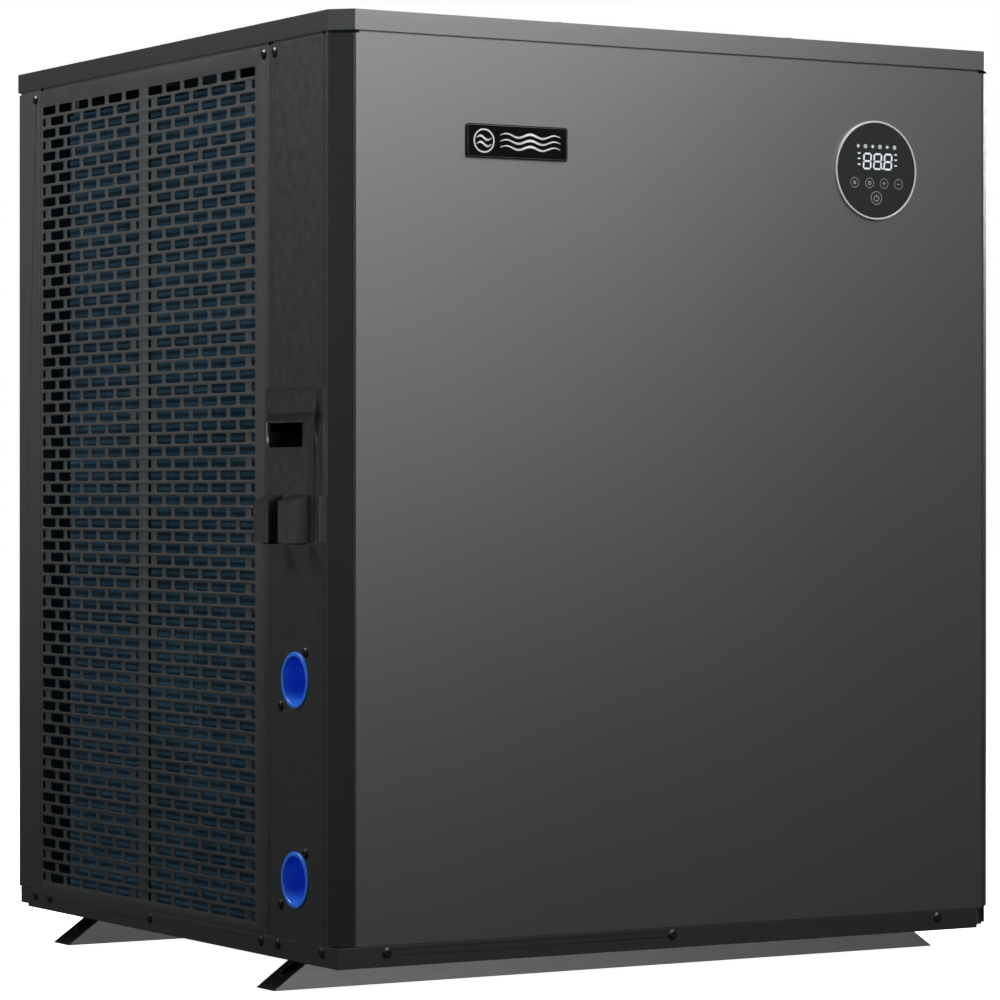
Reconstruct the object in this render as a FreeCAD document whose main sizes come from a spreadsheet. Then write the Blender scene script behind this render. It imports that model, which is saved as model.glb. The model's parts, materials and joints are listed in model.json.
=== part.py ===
import FreeCAD, Part
import math
import os

import Sketcher
from FreeCAD import Placement, Rotation, Vector

# Top-discharge pool heat pump.  Row frame: +Z up, the front faces -Y, and the origin lies on the
# ground in the middle of the casing.  All lengths are in millimetres.

DRIVING_DIMENSIONS = [
    # casing
    ("case_width", 858, "left wall to right wall"),
    ("case_depth", 825, "front wall to back wall"),
    ("case_height", 1000, "underside of the tray to the top of the cover"),
    ("foot_height", 35, "ground to the underside of the tray"),
    ("sheet", 1.2, "casing sheet thickness"),
    ("corner_cut", 20.6, "each leg of the 45 degree corner"),
    ("flange_height", 22, "upstand of the base tray"),
    ("cap_height", 22, "skirt of the top cover"),
    ("cap_gap", 3, "shadow gap under the skirt"),
    ("cap_overhang", 1.5, "top cover beyond the walls"),
    ("seam", 0.6, "gap between neighbouring panels"),
    ("return_depth", 14, "folded edge of a panel"),
    ("tab_lap", 6, "lap of a tab behind its panel"),
    ("notch", 29, "tray flange ends this far from a corner"),
    ("notch_back", 46, "the same, beside the back wall"),
    # walls, measured from the front plane
    ("service_start", 30, "front edge of the service panel"),
    ("service_end", 152, "service panel meets the guard"),
    ("guard_end", 742, "guard meets the back post"),
    # perforation
    ("slot_length", 35.5, "intake slot"),
    ("slot_height", 9.8, "intake slot"),
    ("slot_pitch", 45.5, "slot spacing along a row"),
    ("row_pitch", 13.6, "spacing of the rows"),
    ("row_first", 39, "lowest row above the tray's underside"),
    ("field_margin", 34, "guard edge to the first slot"),
    ("mullion", 24, "plain strip between the two fields"),
    ("end_slot", 7.5, "short slot that closes every second row"),
    ("rib_width", 12, "stiffener behind the mullion"),
    ("rib_depth", 5, "stiffener behind the mullion"),
    # feet
    ("foot_length", 870, "length on the ground"),
    ("foot_slope", 50, "run of the sloping end"),
    ("foot_width", 42, "width of one rail"),
    ("foot_gauge", 2.5, "sheet of the rail"),
    ("foot_spacing", 520, "between the rails"),
    ("anchor_spacing", 812, "anchor holes along one rail"),
    ("anchor_radius", 5.5, "hole for an M10 anchor"),
    ("access_radius", 10, "hole in the slope above an anchor"),
    ("tray_bolt_spacing", 600, "bolts that hold a rail to the tray"),
    # screws
    ("screw_radius", 2.4, "shank"),
    ("screw_hole", 2.6, "clearance hole"),
    ("screw_head", 5.5, "head radius"),
    ("screw_head_height", 2.4, "head height"),
    ("screw_length", 9, "shank length of the panel screws"),
    ("short_screw", 4.5, "shank length in the cover and the handle"),
    ("port_screw", 12, "shank length through the port retainers"),
    ("screw_row", 15, "lower screws above the tray's underside"),
    # water ports
    ("port_depth", 94, "port axis behind the front plane"),
    ("port_low", 86, "inlet axis above the tray's underside"),
    ("port_high", 297.5, "outlet axis above the tray's underside"),
    ("port_bore", 25.15, "socket for a 50 mm pipe"),
    ("port_outer", 30, "outer radius of the port tube"),
    ("port_socket", 40, "depth of the socket"),
    ("port_proud", 1.5, "port beyond the panel"),
    ("pipe_bore", 22, "water pipe inside the unit"),
    ("pipe_outer", 25, "water pipe inside the unit"),
    ("retainer_size", 84, "square plate behind each port"),
    # handle moulding, from the front plane and from the tray's underside
    ("handle_front", 32, "front edge of the base plate"),
    ("handle_rear", 157, "rear edge of the base plate"),
    ("handle_low", 443, "lower edge"),
    ("handle_high", 608, "upper edge"),
    ("plate_proud", 5, "base plate thickness"),
    ("box_proud", 12, "raised box"),
    ("hood_proud", 28, "cable hood"),
    ("hood_high", 494, "top of the hood's roof"),
    ("lobe_width", 34.5, "one lobe of the hood"),
    ("lobe_gap", 22, "recess between the lobes"),
    ("grip_front", 55, "finger opening"),
    ("grip_rear", 131, "finger opening"),
    ("grip_low", 544, "finger opening"),
    ("grip_high", 570, "finger opening"),
    ("grip_depth", 42, "finger pocket behind the panel"),
    # display and name plate
    ("display_offset", 257, "display axis from the middle"),
    ("display_height", 858, "display axis above the tray's underside"),
    ("bezel_radius", 55.5, "outer radius of the ring"),
    ("bezel_width", 2, "ring width"),
    ("bezel_proud", 3, "ring beyond the panel"),
    ("display_hole", 48, "hole in the front panel"),
    ("plate_start", 154, "name plate from the left wall"),
    ("plate_width", 125, "name plate"),
    ("plate_low", 851, "name plate above the tray's underside"),
    ("plate_height", 36, "name plate"),
    ("plate_thick", 2.5, "name plate"),
    # fan
    ("fan_depth", 475, "fan axis behind the front plane"),
    ("fan_opening", 290, "radius of the hole in the cover"),
    ("fan_radius", 275, "blade tip"),
    ("hub_radius", 62, "fan hub"),
    ("hub_height", 74, "fan hub"),
    ("fan_base", 888, "underside of the hub above the tray's underside"),
    ("shaft_radius", 8, "motor shaft"),
    ("shaft_clearance", 0.05, "running clearance round the shaft"),
    ("motor_radius", 62, "motor body"),
    ("motor_height", 92, "motor body"),
    ("guard_rim", 312, "outer ring of the fan guard"),
    ("guard_pitch", 18, "ring spacing"),
    ("ring_wire", 1.6, "ring wire radius"),
    ("spoke_wire", 2.6, "spoke wire radius"),
    # evaporator coil
    ("coil_inset", 30, "wall to the coil"),
    ("coil_thick", 38, "depth of the fins"),
    ("coil_bend", 90, "outer radius at the back corners"),
    ("coil_front", 186, "front ends of the coil behind the front plane"),
    ("coil_low", 10, "lowest fin above the tray's underside"),
    ("coil_high", 946, "highest fin above the tray's underside"),
    ("tube_pitch", 25.4, "rows of coil tube"),
    ("tube_radius", 4.8, "coil tube"),
    ("partition_depth", 160, "wall between the two compartments"),
    # machine compartment
    ("compressor_x", 70, "compressor axis from the middle"),
    ("compressor_depth", 84, "compressor axis behind the front plane"),
    ("compressor_radius", 57, "compressor shell"),
    ("compressor_height", 300, "compressor shell"),
    ("grommet_height", 16, "rubber mount"),
    ("exchanger_x", -205, "heat exchanger axis from the middle"),
    ("exchanger_radius", 58, "heat exchanger shell"),
    ("exchanger_height", 500, "heat exchanger shell"),
    ("exchanger_wall", 5, "heat exchanger shell"),
    ("control_width", 330, "control box"),
    ("control_height", 300, "control box"),
    ("control_depth", 96, "control box"),
    ("control_low", 480, "control box above the tray's underside"),
    ("control_start", 40, "control box from the middle"),
]

doc = FreeCAD.newDocument("pool_heat_pump")
dims = doc.addObject("Spreadsheet::Sheet", "dims")


class Size:
    """A length that carries both its value and its spreadsheet formula."""

    def __init__(self, value, formula):
        self.value = float(value)
        self.formula = formula

    def __float__(self):
        return self.value

    def __add__(self, other):
        return Size(self.value + float(other), f"({self.formula} + {formula_of(other)})")

    def __radd__(self, other):
        return self + other

    def __sub__(self, other):
        return Size(self.value - float(other), f"({self.formula} - {formula_of(other)})")

    def __rsub__(self, other):
        return Size(float(other) - self.value, f"({formula_of(other)} - {self.formula})")

    def __mul__(self, factor):
        return Size(self.value * float(factor), f"({self.formula} * {formula_of(factor)})")

    def __rmul__(self, factor):
        return self * factor

    def __truediv__(self, factor):
        return Size(self.value / float(factor), f"({self.formula} / {formula_of(factor)})")

    def __neg__(self):
        return Size(-self.value, f"(0 - {self.formula})")


def formula_of(length):
    return length.formula if isinstance(length, Size) else f"({float(length)})"


class Sheet:
    """The driving dimensions, by name."""


D = Sheet()
for row, (alias, amount, meaning) in enumerate(DRIVING_DIMENSIONS, start=1):
    dims.set(f"A{row}", alias)
    dims.set(f"B{row}", str(amount))
    dims.setAlias(f"B{row}", alias)
    dims.set(f"C{row}", meaning)
    setattr(D, alias, Size(amount, f"dims.{alias}"))
doc.recompute()

LEFT = -D.case_width / 2
RIGHT = D.case_width / 2
FRONT = -D.case_depth / 2
BACK = D.case_depth / 2
BASE = D.foot_height
TOP = D.foot_height + D.case_height
WALL_LOW = BASE + D.flange_height + D.seam
WALL_HIGH = TOP - D.cap_height - D.cap_gap
TAB_LOW = BASE + 3
TAB_HIGH = TOP - 5

nodes = {}


def node(name, thing):
    """Register a finished sub-part under the name of its file."""
    thing.Label = name
    nodes[name] = thing
    return thing


def bind(thing, **lengths):
    for prop, length in lengths.items():
        thing.setExpression(prop, formula_of(length))


def put(thing, x, y, z):
    for axis, length in zip("xyz", (x, y, z)):
        thing.setExpression(f"Placement.Base.{axis}", formula_of(length))
    return thing


def box(name, x0, x1, y0, y1, z0, z1):
    thing = doc.addObject("Part::Box", name)
    bind(thing, Length=x1 - x0, Width=y1 - y0, Height=z1 - z0)
    return put(thing, x0, y0, z0)


AXES = {"+X": Vector(1, 0, 0), "-X": Vector(-1, 0, 0), "+Y": Vector(0, 1, 0),
        "-Y": Vector(0, -1, 0), "+Z": Vector(0, 0, 1), "-Z": Vector(0, 0, -1)}


def aim(thing, axis):
    """Turn an object made along +Z so that it points along the named axis."""
    thing.Placement = Placement(Vector(), Rotation(Vector(0, 0, 1), AXES[axis]))
    return thing


def rod(name, radius, length, x, y, z, axis="+Z"):
    thing = doc.addObject("Part::Cylinder", name)
    bind(thing, Radius=radius, Height=length)
    aim(thing, axis)
    return put(thing, x, y, z)


def fuse(name, parts):
    thing = doc.addObject("Part::MultiFuse", name)
    thing.Shapes = parts
    return thing


def cut(name, base, tools):
    """Take a list of separate tools away from base."""
    tool = tools[0]
    if len(tools) > 1:
        tool = doc.addObject("Part::Compound", f"{name}_tools")
        tool.Links = tools
    thing = doc.addObject("Part::Cut", name)
    thing.Base = base
    thing.Tool = tool
    return thing


def group(name, things):
    thing = doc.addObject("Part::Compound", name)
    thing.Links = things
    return thing


def split(name, whole, regions):
    """The same shape as solids that touch, one inside each region."""
    parts = []
    for number, region in enumerate(regions):
        part = doc.addObject("Part::MultiCommon", f"{name}_part_{number}")
        part.Shapes = [whole, region]
        parts.append(part)
    return group(name, parts)


def shaped(name, shape):
    """A Part::Feature whose shape is made with Part's own functions."""
    thing = doc.addObject("Part::Feature", name)
    thing.Shape = shape
    return thing


def profile_sketch(body, name, plane_role, points, offset=0):
    """A closed outline of straight lines, every corner bound to the sheet."""
    sketch = body.newObject("Sketcher::SketchObject", name)
    plane = [item for item in body.Origin.OriginFeatures if item.Role == plane_role][0]
    sketch.AttachmentSupport = [(plane, "")]
    sketch.MapMode = "FlatFace"
    sketch.setExpression("AttachmentOffset.Base.z", formula_of(offset))
    count = len(points)
    for index, (u, v) in enumerate(points):
        next_u, next_v = points[(index + 1) % count]
        start = Vector(float(u), float(v), 0)
        end = Vector(float(next_u), float(next_v), 0)
        sketch.addGeometry(Part.LineSegment(start, end))
    for index in range(count):
        sketch.addConstraint(Sketcher.Constraint("Coincident", index, 2, (index + 1) % count, 1))
    for index, corner in enumerate(points):
        for direction, length in zip(("DistanceX", "DistanceY"), corner):
            number = sketch.addConstraint(
                Sketcher.Constraint(direction, -1, 1, index, 1, float(length)))
            if isinstance(length, Size):
                sketch.setExpression(f"Constraints[{number}]", length.formula)
    return sketch


def prism(name, plane_role, points, length, offset=0, away=False):
    """Pad an outline drawn on one of the body's own planes."""
    body = doc.addObject("PartDesign::Body", name)
    sketch = profile_sketch(body, f"{name}_outline", plane_role, points, offset)
    pad = body.newObject("PartDesign::Pad", f"{name}_pad")
    pad.Profile = sketch
    pad.Reversed = away
    bind(pad, Length=length)
    return body


def turned(name, points, x=0, y=0, z=0, axis="+Z"):
    """Turn a (radius, height) outline about the body's own Z axis, then aim and place it."""
    body = doc.addObject("PartDesign::Body", name)
    sketch = profile_sketch(body, f"{name}_section", "XZ_Plane", points)
    revolution = body.newObject("PartDesign::Revolution", f"{name}_revolution")
    revolution.Profile = sketch
    revolution.ReferenceAxis = (sketch, ["V_Axis"])
    revolution.Angle = 360
    aim(body, axis)
    return put(body, x, y, z)


def tube_along(points, radius, bend, wall=0):
    """A bent tube: straight runs joined by tangent arcs, hollow if a wall is given."""
    corners = [Vector(*[float(value) for value in point]) for point in points]
    edges = []
    start = corners[0]
    for before, corner, after in zip(corners, corners[1:], corners[2:]):
        back_way = (before - corner).normalize()
        on_way = (after - corner).normalize()
        half = back_way.getAngle(on_way) / 2
        reach = bend / math.tan(half)
        enter = corner + back_way * reach
        leave = corner + on_way * reach
        middle_way = (back_way + on_way).normalize()
        middle = corner + middle_way * (bend / math.sin(half) - bend)
        edges.append(Part.LineSegment(start, enter).toShape())
        edges.append(Part.Arc(enter, middle, leave).toShape())
        start = leave
    edges.append(Part.LineSegment(start, corners[-1]).toShape())
    path = Part.Wire(edges)

    def swept(section_radius):
        circle = Part.Circle(corners[0], corners[1] - corners[0], section_radius)
        section = Part.Wire([circle.toShape()])
        return path.makePipeShell([section], True, True)

    outside = swept(radius)
    return outside.cut(swept(radius - wall)) if wall else outside


# ---------------------------------------------------------------- walls

def wall_box(name, side, start, end, inner, outer, low, high):
    """A box on one wall: start and end run along it, outer and inner are depths behind it."""
    if side == "left":
        return box(name, LEFT + outer, LEFT + inner, start, end, low, high)
    if side == "right":
        return box(name, RIGHT - inner, RIGHT - outer, start, end, low, high)
    if side == "front":
        return box(name, start, end, FRONT + outer, FRONT + inner, low, high)
    return box(name, start, end, BACK - inner, BACK - outer, low, high)


def wall_frame(name, side, start, end):
    """The folded edges of a wall panel, and its tabs behind the tray flange and the cover."""
    sheet = D.sheet
    parts = []
    for edge, first, last in (("a", start, start + sheet), ("b", end - sheet, end)):
        parts.append(wall_box(f"{name}_return_{edge}", side, first, last,
                              D.return_depth, sheet, WALL_LOW, WALL_HIGH))
    inset = 4 * sheet
    parts.append(wall_box(f"{name}_low_tab", side, start + inset, end - inset,
                          2 * sheet, sheet, TAB_LOW, WALL_LOW + D.tab_lap))
    parts.append(wall_box(f"{name}_high_tab", side, start + inset, end - inset,
                          2 * sheet, sheet, WALL_HIGH - D.tab_lap, TAB_HIGH))
    return parts


SIDE_SCREWS = [34, 133, 172, 445, 716, 757]
FRONT_SCREWS = [59, 415, 773]
BACK_SCREWS = [100, 250, 429, 608, 758]


def screw_places(side):
    """Lower screws of one wall, measured along it from its front or left end."""
    return {"left": SIDE_SCREWS, "right": SIDE_SCREWS,
            "front": FRONT_SCREWS, "back": BACK_SCREWS}[side]


def wall_point(side, along, height, depth=0):
    """A point on a wall, and the name of the axis that points out of it."""
    if side == "left":
        return LEFT + depth, FRONT + along, height, "-X"
    if side == "right":
        return RIGHT - depth, FRONT + along, height, "+X"
    if side == "front":
        return LEFT + along, FRONT + depth, height, "-Y"
    return LEFT + along, BACK - depth, height, "+Y"


def wall_holes(name, side, places, height):
    """Clearance holes through the wall at the given places."""
    holes = []
    for number, along in enumerate(places):
        x, y, z, axis = wall_point(side, along, height, 8)
        holes.append(rod(f"{name}_{number}", D.screw_hole, 16, x, y, z, axis))
    return holes


SCREW_HEIGHT = BASE + D.screw_row
HIGH_SCREW_HEIGHT = TOP - 34
HIGH_SCREWS = [140, 165, 757]
SIDE_PANEL_HOLES = [("low", SIDE_SCREWS[:2], SCREW_HEIGHT),
                    ("high", HIGH_SCREWS[:1], HIGH_SCREW_HEIGHT)]


def plain_panel(name, side, start, end, holes, extra_cuts=(), regions=()):
    sheet = wall_box(f"{name}_sheet", side, start, end, D.sheet, 0, WALL_LOW, WALL_HIGH)
    whole = fuse(f"{name}_folded", [sheet] + wall_frame(name, side, start, end))
    tools = list(extra_cuts)
    for label, places, height in holes:
        tools += wall_holes(f"{name}_{label}", side, places, height)
    if not regions:
        return node(name, cut(name, whole, tools))
    return node(name, split(name, cut(f"{name}_whole", whole, tools), regions))


ROW_COUNT = 68
SIDE_SLOTS = 6
BACK_SLOTS = 7


def slot_rows(full_slots, origin):
    """Rectangles (u, v, width, height) of one perforated field; every second row is staggered."""
    pitch = float(D.slot_pitch)
    length = float(D.slot_length)
    field = (full_slots - 1) * pitch + length
    end_slot = float(D.end_slot)
    for number in range(ROW_COUNT):
        low = float(BASE + D.row_first) + number * float(D.row_pitch) - float(D.slot_height) / 2
        if number % 2:
            spans = [(index * pitch, length) for index in range(full_slots)]
        else:
            spans = [(pitch / 2 + index * pitch, length) for index in range(full_slots - 1)]
            spans += [(0, end_slot), (field - end_slot, end_slot)]
        for begin, width in spans:
            yield origin + begin, low, width, float(D.slot_height)


def field_starts(full_slots, start):
    field = (full_slots - 1) * float(D.slot_pitch) + float(D.slot_length)
    first = float(start + D.field_margin)
    return [first, first + field + float(D.mullion)]


def guard(name, side, start, end, full_slots, low_screws, high_screws):
    """A perforated wall panel: the slotted face is extruded, then its folded edges join it."""
    plane = float(wall_point(side, 0, 0)[0 if side in ("left", "right") else 1])

    def corner(u, v):
        return Vector(plane, u, v) if side in ("left", "right") else Vector(u, plane, v)

    def outline(u, v, width, height):
        points = [corner(u, v), corner(u + width, v), corner(u + width, v + height),
                  corner(u, v + height)]
        return Part.makePolygon(points + points[:1])

    inward = {"left": Vector(1, 0, 0), "right": Vector(-1, 0, 0), "back": Vector(0, -1, 0)}[side]
    edge = outline(float(start), float(WALL_LOW), float(end - start), float(WALL_HIGH - WALL_LOW))
    holes = []
    for begin in field_starts(full_slots, start):
        holes += [outline(*slot) for slot in slot_rows(full_slots, begin)]
    for hole in holes:
        hole.reverse()
    flat = Part.Face([edge] + holes).extrude(inward * float(D.sheet))
    frame = wall_frame(name, side, start, end)
    drills = wall_holes(f"{name}_low", side, low_screws, SCREW_HEIGHT)
    drills += wall_holes(f"{name}_high", side, high_screws, HIGH_SCREW_HEIGHT)
    doc.recompute()
    edges = [piece.Shape.cut([drill.Shape for drill in drills]) for piece in frame]
    upper = [drill.Shape for drill in drills[len(low_screws):]]
    if upper:
        flat = flat.cut(upper)
    return node(name, shaped(name, flat.fuse(edges)))


SERVICE_FROM = FRONT + D.service_start + D.seam / 2
SERVICE_TO = FRONT + D.service_end - D.seam / 2
GUARD_FROM = FRONT + D.service_end + D.seam / 2
GUARD_TO = FRONT + D.guard_end - D.seam / 2
BACK_STRIP = D.case_depth - D.guard_end
FRONT_FROM = LEFT + D.corner_cut + 2 * D.seam
FRONT_TO = RIGHT - D.corner_cut - 2 * D.seam
PORT_Y = FRONT + D.port_depth
INLET_Z = BASE + D.port_low
OUTLET_Z = BASE + D.port_high
DISPLAY_Z = BASE + D.display_height
PORT_SCREWS = [(INLET_Z, -24, 30), (INLET_Z, 32, -28), (OUTLET_Z, -24, 30), (OUTLET_Z, 32, -28)]
HANDLE_SCREWS = [(42, 600), (142, 600)]


def service_panel():
    cuts = []
    for label, height in (("inlet", INLET_Z), ("outlet", OUTLET_Z)):
        cuts.append(rod(f"panel_{label}_hole", D.port_outer + 0.5, 20, LEFT - 5, PORT_Y, height,
                        "+X"))
    for number, (height, along, up) in enumerate(PORT_SCREWS):
        cuts.append(rod(f"port_screw_hole_{number}", D.screw_hole, 20,
                        LEFT - 5, PORT_Y + along, height + up, "+X"))
    for number, (along, up) in enumerate(HANDLE_SCREWS):
        cuts.append(rod(f"handle_screw_hole_{number}", D.screw_hole, 20,
                        LEFT - 5, FRONT + along, BASE + up, "+X"))
    window_low = D.grip_low - 6
    window_high = D.grip_high + 16
    cuts.append(box("grip_window", LEFT - 5, LEFT + 15, FRONT + D.grip_front - 6,
                    FRONT + D.grip_rear + 6, BASE + window_low, BASE + window_high))
    cuts.append(box("cable_window", LEFT - 5, LEFT + 15, FRONT + 60, FRONT + 122,
                    BASE + 462, BASE + 482))
    regions = [
        left_box("panel_below_grip", -20, 400, -20, window_low, -60, 5),
        left_box("panel_above_grip", -20, 400, window_high, 1100, -60, 5),
        left_box("panel_before_grip", -20, D.grip_front, window_low, window_high, -60, 5),
        left_box("panel_behind_grip", D.grip_rear, 400, window_low, window_high, -60, 5),
    ]
    return plain_panel("service_panel", "left", SERVICE_FROM, SERVICE_TO,
                       SIDE_PANEL_HOLES, cuts, regions)


def front_panel():
    hole = rod("display_cutout", D.display_hole, 20, D.display_offset, FRONT - 5, DISPLAY_Z, "+Y")
    return plain_panel("front_panel", "front", FRONT_FROM, FRONT_TO,
                       [("low", screw_places("front"), SCREW_HEIGHT)], [hole])


def post(name, side, face, side_run, face_run):
    """A corner post: a 45 degree face, a strip on each wall, and a folded edge on each."""
    along_x = 1 if side == "left" else -1
    along_y = 1 if face == "front" else -1
    corner_x = LEFT if side == "left" else RIGHT
    corner_y = FRONT if face == "front" else BACK

    def span(corner, way, near, far):
        ends = [corner + near * way, corner + far * way]
        return ends if way > 0 else ends[::-1]

    def piece(label, x_near, x_far, y_near, y_far, low, high):
        x0, x1 = span(corner_x, along_x, x_near, x_far)
        y0, y1 = span(corner_y, along_y, y_near, y_far)
        return box(f"{name}_{label}", x0, x1, y0, y1, low, high)

    sheet = D.sheet
    cut_leg = D.corner_cut
    bevel = doc.addObject("Part::Box", f"{name}_bevel")
    bind(bevel, Length=cut_leg * math.sqrt(2), Width=sheet, Height=WALL_HIGH - WALL_LOW)
    start_x, start_y, turn = {
        (1, 1): (0, cut_leg, -45), (1, -1): (cut_leg, 0, -135),
        (-1, -1): (0, cut_leg, 135), (-1, 1): (cut_leg, 0, 45)}[(along_x, along_y)]
    bevel.Placement = Placement(Vector(), Rotation(Vector(0, 0, 1), turn))
    put(bevel, corner_x + start_x * along_x, corner_y + start_y * along_y, WALL_LOW)
    parts = [
        bevel,
        piece("side_strip", 0, sheet, cut_leg, side_run, WALL_LOW, WALL_HIGH),
        piece("side_return", sheet, D.return_depth, side_run - sheet, side_run,
              WALL_LOW, WALL_HIGH),
        piece("face_return", face_run - sheet, face_run, 0 if face_run is cut_leg else sheet,
              D.return_depth, WALL_LOW, WALL_HIGH),
        piece("low_tab", sheet, 2 * sheet, cut_leg + 2, side_run - 2,
              TAB_LOW, WALL_LOW + D.tab_lap),
        piece("high_tab", sheet, 2 * sheet, cut_leg + 2, side_run - 2,
              WALL_HIGH - D.tab_lap, TAB_HIGH),
    ]
    if face_run is not cut_leg:
        parts.append(piece("face_strip", cut_leg, face_run, 0, sheet, WALL_LOW, WALL_HIGH))
        parts.append(piece("face_low_tab", cut_leg + 8, face_run - 2, sheet, 2 * sheet,
                           TAB_LOW, WALL_LOW + D.tab_lap))
    whole = fuse(f"{name}_folded", parts)
    if face == "front":
        return node(name, whole)
    along = HIGH_SCREWS[2:]
    tools = wall_holes(f"{name}_low", side, along, SCREW_HEIGHT)
    tools += wall_holes(f"{name}_high", side, along, HIGH_SCREW_HEIGHT)
    return node(name, cut(name, whole, tools))


# ---------------------------------------------------------------- base, feet and cover

FOOT_Y = {"front": -D.foot_spacing / 2, "rear": D.foot_spacing / 2}
TRAY_BOLTS = [(x_way, y_way) for x_way in (-1, 1) for y_way in (-1, 1)]
TRAY_BOLT_ACROSS = 11.8
RAIL_SLOT = 5
DRAIN_X = -180
DRAIN_Y = 150
COMPRESSOR_Y = FRONT + D.compressor_depth
MOUNT_CIRCLE = 65
MOUNT_ANGLES = [0, 120, 240]
COVER_SCREWS = [(x_way * 412, y) for x_way in (-1, 1) for y in (-375, 0, 375)]
COVER_SCREWS += [(x, y_way * 396) for x in (-150, 150) for y_way in (-1, 1)]
FAN_Y = FRONT + D.fan_depth
GUARD_SCREW_CIRCLE = 300
GUARD_SCREW_ANGLES = [22.5 + 45 * number for number in range(8)]
GUARD_TAB = 1.6


def around(angle, radius, x=0, y=0):
    turn = math.radians(angle)
    return x + radius * math.cos(turn), y + radius * math.sin(turn)


def foot_bolt_places(rail):
    return [(D.tray_bolt_spacing / 2 * x_way, FOOT_Y[rail] + TRAY_BOLT_ACROSS * y_way)
            for x_way, y_way in TRAY_BOLTS]


def base_tray():
    sheet = D.sheet
    high = BASE + D.flange_height
    parts = [
        box("tray_floor", LEFT, RIGHT, FRONT, BACK, BASE, BASE + sheet),
        box("tray_left", LEFT, LEFT + sheet, FRONT, BACK - D.notch_back, BASE, high),
        box("tray_right", RIGHT - sheet, RIGHT, FRONT + D.notch, BACK - D.notch_back, BASE, high),
        box("tray_front", LEFT, RIGHT - D.notch, FRONT, FRONT + sheet, BASE, high),
        box("tray_back", LEFT + D.notch, RIGHT - D.notch, BACK - sheet, BACK, BASE, high),
    ]
    tools = [
        box("notch_a", RIGHT - D.notch, RIGHT + 1, FRONT - 1, FRONT + D.notch, BASE - 1, high),
        box("notch_b", LEFT - 1, LEFT + D.notch, BACK - D.notch_back, BACK + 1, BASE - 1, high),
        box("notch_c", RIGHT - D.notch, RIGHT + 1, BACK - D.notch_back, BACK + 1, BASE - 1, high),
        rod("drain_hole", 9.6, 12, DRAIN_X, DRAIN_Y, BASE - 5),
    ]
    for rail in FOOT_Y:
        for number, (x, y) in enumerate(foot_bolt_places(rail)):
            tools.append(rod(f"tray_bolt_hole_{rail}_{number}", 4.3, 12, x, y, BASE - 5))
    for side in ("left", "right", "front", "back"):
        tools += wall_holes(f"tray_{side}_screw", side, screw_places(side), SCREW_HEIGHT)
    return node("base_tray", cut("base_tray", fuse("tray_sheet", parts), tools))


def foot(rail):
    """A bent rail: closed underneath, sloping ends, in-turned flanges under the tray."""
    name = f"foot_{rail}"
    middle = FOOT_Y[rail]
    gauge = D.foot_gauge
    half = D.foot_length / 2
    lean = float(D.foot_slope) / float(D.foot_height)
    wall = gauge * math.hypot(1, lean)
    outline = [(-half, 0), (half, 0), (half - D.foot_slope, BASE), (-half + D.foot_slope, BASE)]
    inside_low = half - gauge * lean - wall
    inside_high = half - (BASE - gauge) * lean - wall
    hollow = [(-inside_low, gauge), (inside_low, gauge), (inside_high, BASE - gauge),
              (-inside_high, BASE - gauge)]
    outer = prism(f"{name}_outer", "XZ_Plane", outline, D.foot_width,
                  -(middle + D.foot_width / 2))
    inner = prism(f"{name}_inner", "XZ_Plane", hollow, D.foot_width - 2 * gauge,
                  -(middle + D.foot_width / 2 - gauge))
    slot = box(f"{name}_slot", -inside_high, inside_high, middle - RAIL_SLOT, middle + RAIL_SLOT,
               BASE - gauge - 1, BASE + 1)
    tools = []
    for way in (-1, 1):
        x = D.anchor_spacing / 2 * way
        tools.append(rod(f"{name}_anchor_{way + 1}", D.anchor_radius, 6, x, middle, -1))
        tools.append(rod(f"{name}_access_{way + 1}", D.access_radius, 40, x, middle, 7))
    for number, (x, y) in enumerate(foot_bolt_places(rail)):
        tools.append(rod(f"{name}_bolt_hole_{number}", 4.3, 10, x, y, BASE - 6))
    shell = cut(f"{name}_shell", cut(f"{name}_hollow", outer, [inner]), [slot])
    return node(name, cut(name, shell, tools))


def hexagon(across_flats, low, height, x, y):
    radius = across_flats / math.sqrt(3)
    corners = [Vector(x + radius * math.cos(math.radians(60 * turn)),
                      y + radius * math.sin(math.radians(60 * turn)), low) for turn in range(7)]
    return Part.Face(Part.makePolygon(corners)).extrude(Vector(0, 0, height))


def mounting_bolts():
    base = float(BASE)
    sheet = float(D.sheet)
    gauge = float(D.foot_gauge)
    bolts = []
    nuts = []
    for rail in FOOT_Y:
        for x, y in foot_bolt_places(rail):
            x, y = float(x), float(y)
            shank = Part.makeCylinder(4, 22, Vector(x, y, base + sheet - 22))
            bolts.append(hexagon(13, base + sheet, 5.3, x, y).fuse(shank).removeSplitter())
            nut = hexagon(13, base - gauge - 6.8, 6.8, x, y)
            nuts.append(nut.cut(Part.makeCylinder(4.05, 20, Vector(x, y, base - 20))))
    for angle in MOUNT_ANGLES:
        x, y = around(angle, MOUNT_CIRCLE, float(D.compressor_x), float(COMPRESSOR_Y))
        low = base + sheet
        tall = float(D.grommet_height)
        shank = Part.makeCylinder(3, tall + 6, Vector(x, y, low))
        bolts.append(hexagon(13, low + tall + 4, 5, x, y).fuse(shank).removeSplitter())
    node("mounting_bolts", shaped("mounting_bolts", Part.makeCompound(bolts + nuts)))


def octagon(out, leg):
    """Plan outline of the casing, moved out from the walls, with 45 degree corners."""
    x0, x1, y0, y1 = LEFT - out, RIGHT + out, FRONT - out, BACK + out
    return [(x0 + leg, y0), (x1 - leg, y0), (x1, y0 + leg), (x1, y1 - leg),
            (x1 - leg, y1), (x0 + leg, y1), (x0, y1 - leg), (x0, y0 + leg)]


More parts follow.
